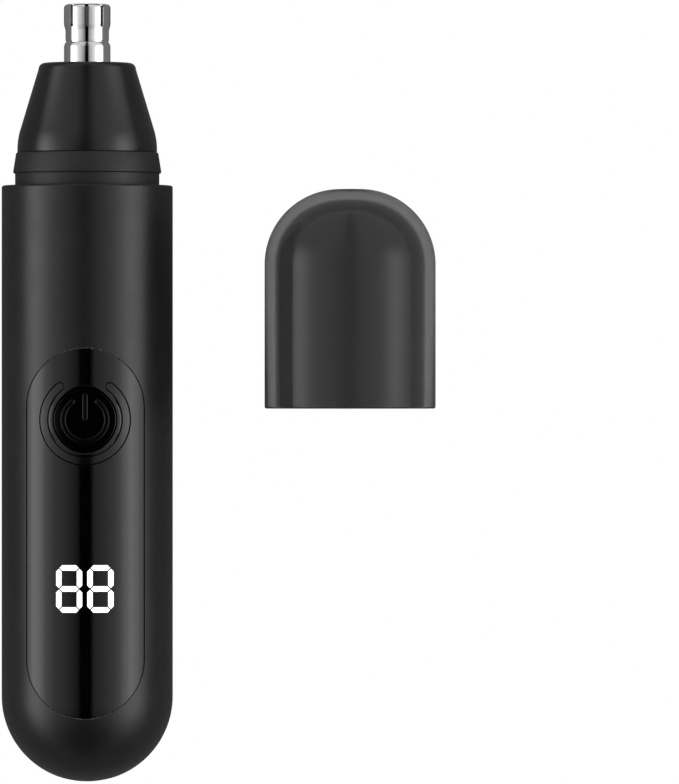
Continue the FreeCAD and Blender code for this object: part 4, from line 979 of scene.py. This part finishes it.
# %% Floor
def paper():
    """White paper for the eye, also through clear plastic, and dim for the object."""
    finish = bpy.data.materials.new("paper")
    finish.use_nodes = True
    tree = finish.node_tree
    tree.nodes.clear()
    output = tree.nodes.new("ShaderNodeOutputMaterial")
    seen = tree.nodes.new("ShaderNodeLightPath")
    mix = tree.nodes.new("ShaderNodeMixShader")
    white = tree.nodes.new("ShaderNodeEmission")
    white.inputs["Strength"].default_value = 1.0
    dim = tree.nodes.new("ShaderNodeBsdfDiffuse")
    dim.inputs["Color"].default_value = (0.3, 0.3, 0.3, 1)
    straight = link_math(tree, "MAXIMUM", seen.outputs["Is Camera Ray"], seen.outputs["Is Transmission Ray"])
    tree.links.new(straight, mix.inputs[0])
    tree.links.new(dim.outputs[0], mix.inputs[1])
    tree.links.new(white.outputs[0], mix.inputs[2])
    tree.links.new(mix.outputs[0], output.inputs["Surface"])
    return finish


def floor():
    """A wide plane a hair under both pieces, so that it doesn't cut into the cap's clear wall."""
    half = 3.0
    level = cad_box[0][2] - 0.05 * MM
    mesh = bpy.data.meshes.new("floor")
    corners = [(-half, -half), (half, -half), (half, half), (-half, half)]
    mesh.from_pydata([(across, along, level) for across, along in corners], [], [(0, 1, 2, 3)])
    mesh.materials.append(paper())
    new_piece("floor", mesh)


floor()


# %% Soft boxes
ACROSS = [(-180, 0.15), (-140, 0.2), (-116, 0.3), (-94, 0.5), (-86, 1.4), (-76, 3.1), (-66, 2.7), (-56, 1.4),
          (-44, 0.8), (-24, 0.44), (-12, 0.2), (-7, 0.0), (6, 0.0), (12, 0.38), (24, 0.55), (38, 0.85),
          (46, 1.3), (54, 2.2), (63, 3.0), (72, 2.4), (82, 1.3), (92, 0.5), (116, 0.3), (140, 0.2),
          (180, 0.15)]
HEAD_END = [(-180, 0.5), (-60, 0.7), (-16, 0.55), (-4, 0.02), (4, 0.02), (16, 0.6), (60, 0.8), (180, 0.5)]


def brightness(tree, share, stops):
    """A brightness for each angle, in degrees from straight up, from a colour ramp."""
    top = max(value for _, value in stops)
    ramp = tree.nodes.new("ShaderNodeValToRGB")
    tree.links.new(share, ramp.inputs[0])
    elements = ramp.color_ramp.elements
    while len(elements) < len(stops):
        elements.new(0.5)
    for element, (turn, value) in zip(elements, stops):
        element.position = turn / 360 + 0.5
        element.color = (value / top, value / top, value / top, 1)
    return link_math(tree, "MULTIPLY", ramp.outputs[0], top)


def rise(tree, source, start, end):
    """Nought below start, one above end, with a soft change between."""
    ranged = tree.nodes.new("ShaderNodeMapRange")
    ranged.interpolation_type = "SMOOTHSTEP"
    ranged.inputs["From Min"].default_value = start
    ranged.inputs["From Max"].default_value = end
    tree.links.new(source, ranged.inputs["Value"])
    return ranged.outputs[0]


def sky():
    """Long soft boxes at each side, an even glow past the head, and little light past the dome end."""
    world = bpy.data.worlds.new("studio")
    bpy.context.scene.world = world
    world.use_nodes = True
    tree = world.node_tree
    coords = tree.nodes.new("ShaderNodeTexCoord")
    split = tree.nodes.new("ShaderNodeSeparateXYZ")
    tree.links.new(coords.outputs["Generated"], split.inputs[0])
    angle = link_math(tree, "ARCTAN2", split.outputs["X"], split.outputs["Z"])
    share = link_math(tree, "ADD", link_math(tree, "DIVIDE", angle, math.tau), 0.5)
    past_head = rise(tree, split.outputs["Y"], 0.1, 0.5)
    past_dome = rise(tree, link_math(tree, "MULTIPLY", split.outputs["Y"], -1), 0.12, 0.85)
    before_head = link_math(tree, "SUBTRACT", 1, past_head)
    before_dome = link_math(tree, "SUBTRACT", 1, link_math(tree, "MULTIPLY", past_dome, 0.9))
    middle = link_math(tree, "MULTIPLY", brightness(tree, share, ACROSS), before_head)
    middle = link_math(tree, "MULTIPLY", middle, before_dome)
    glow = link_math(tree, "MULTIPLY", brightness(tree, share, HEAD_END), past_head)
    tree.links.new(link_math(tree, "ADD", middle, glow), tree.nodes["Background"].inputs["Strength"])
    tree.nodes["Background"].inputs["Color"].default_value = (1, 1, 1, 1)


sky()
bpy.context.scene.view_settings.view_transform = "Standard"


# %% [markdown]
# ## Camera
#
# The camera looks straight down from far away with a long lens, so the trimmer shows almost no
# perspective. It frames the trimmer at the left and leaves room for the cap.

# %% Camera
def camera():
    """A long lens straight above, framing 137.5 mm from the dome's tip to the cutter's end."""
    lens, sensor = 400.0, 36.0
    frame_tall = 137.5 * MM
    frame_wide = frame_tall * 679 / 784
    left, bottom = -15.3 * MM, TIP - 0.44 * MM
    data = bpy.data.cameras.new("camera")
    data.lens = lens
    data.sensor_width = sensor
    data.clip_end = 10
    eye = bpy.data.objects.new("camera", data)
    eye.location = (left + frame_wide / 2, bottom + frame_tall / 2, frame_tall * lens / sensor)
    bpy.context.scene.collection.objects.link(eye)
    bpy.context.scene.camera = eye


camera()
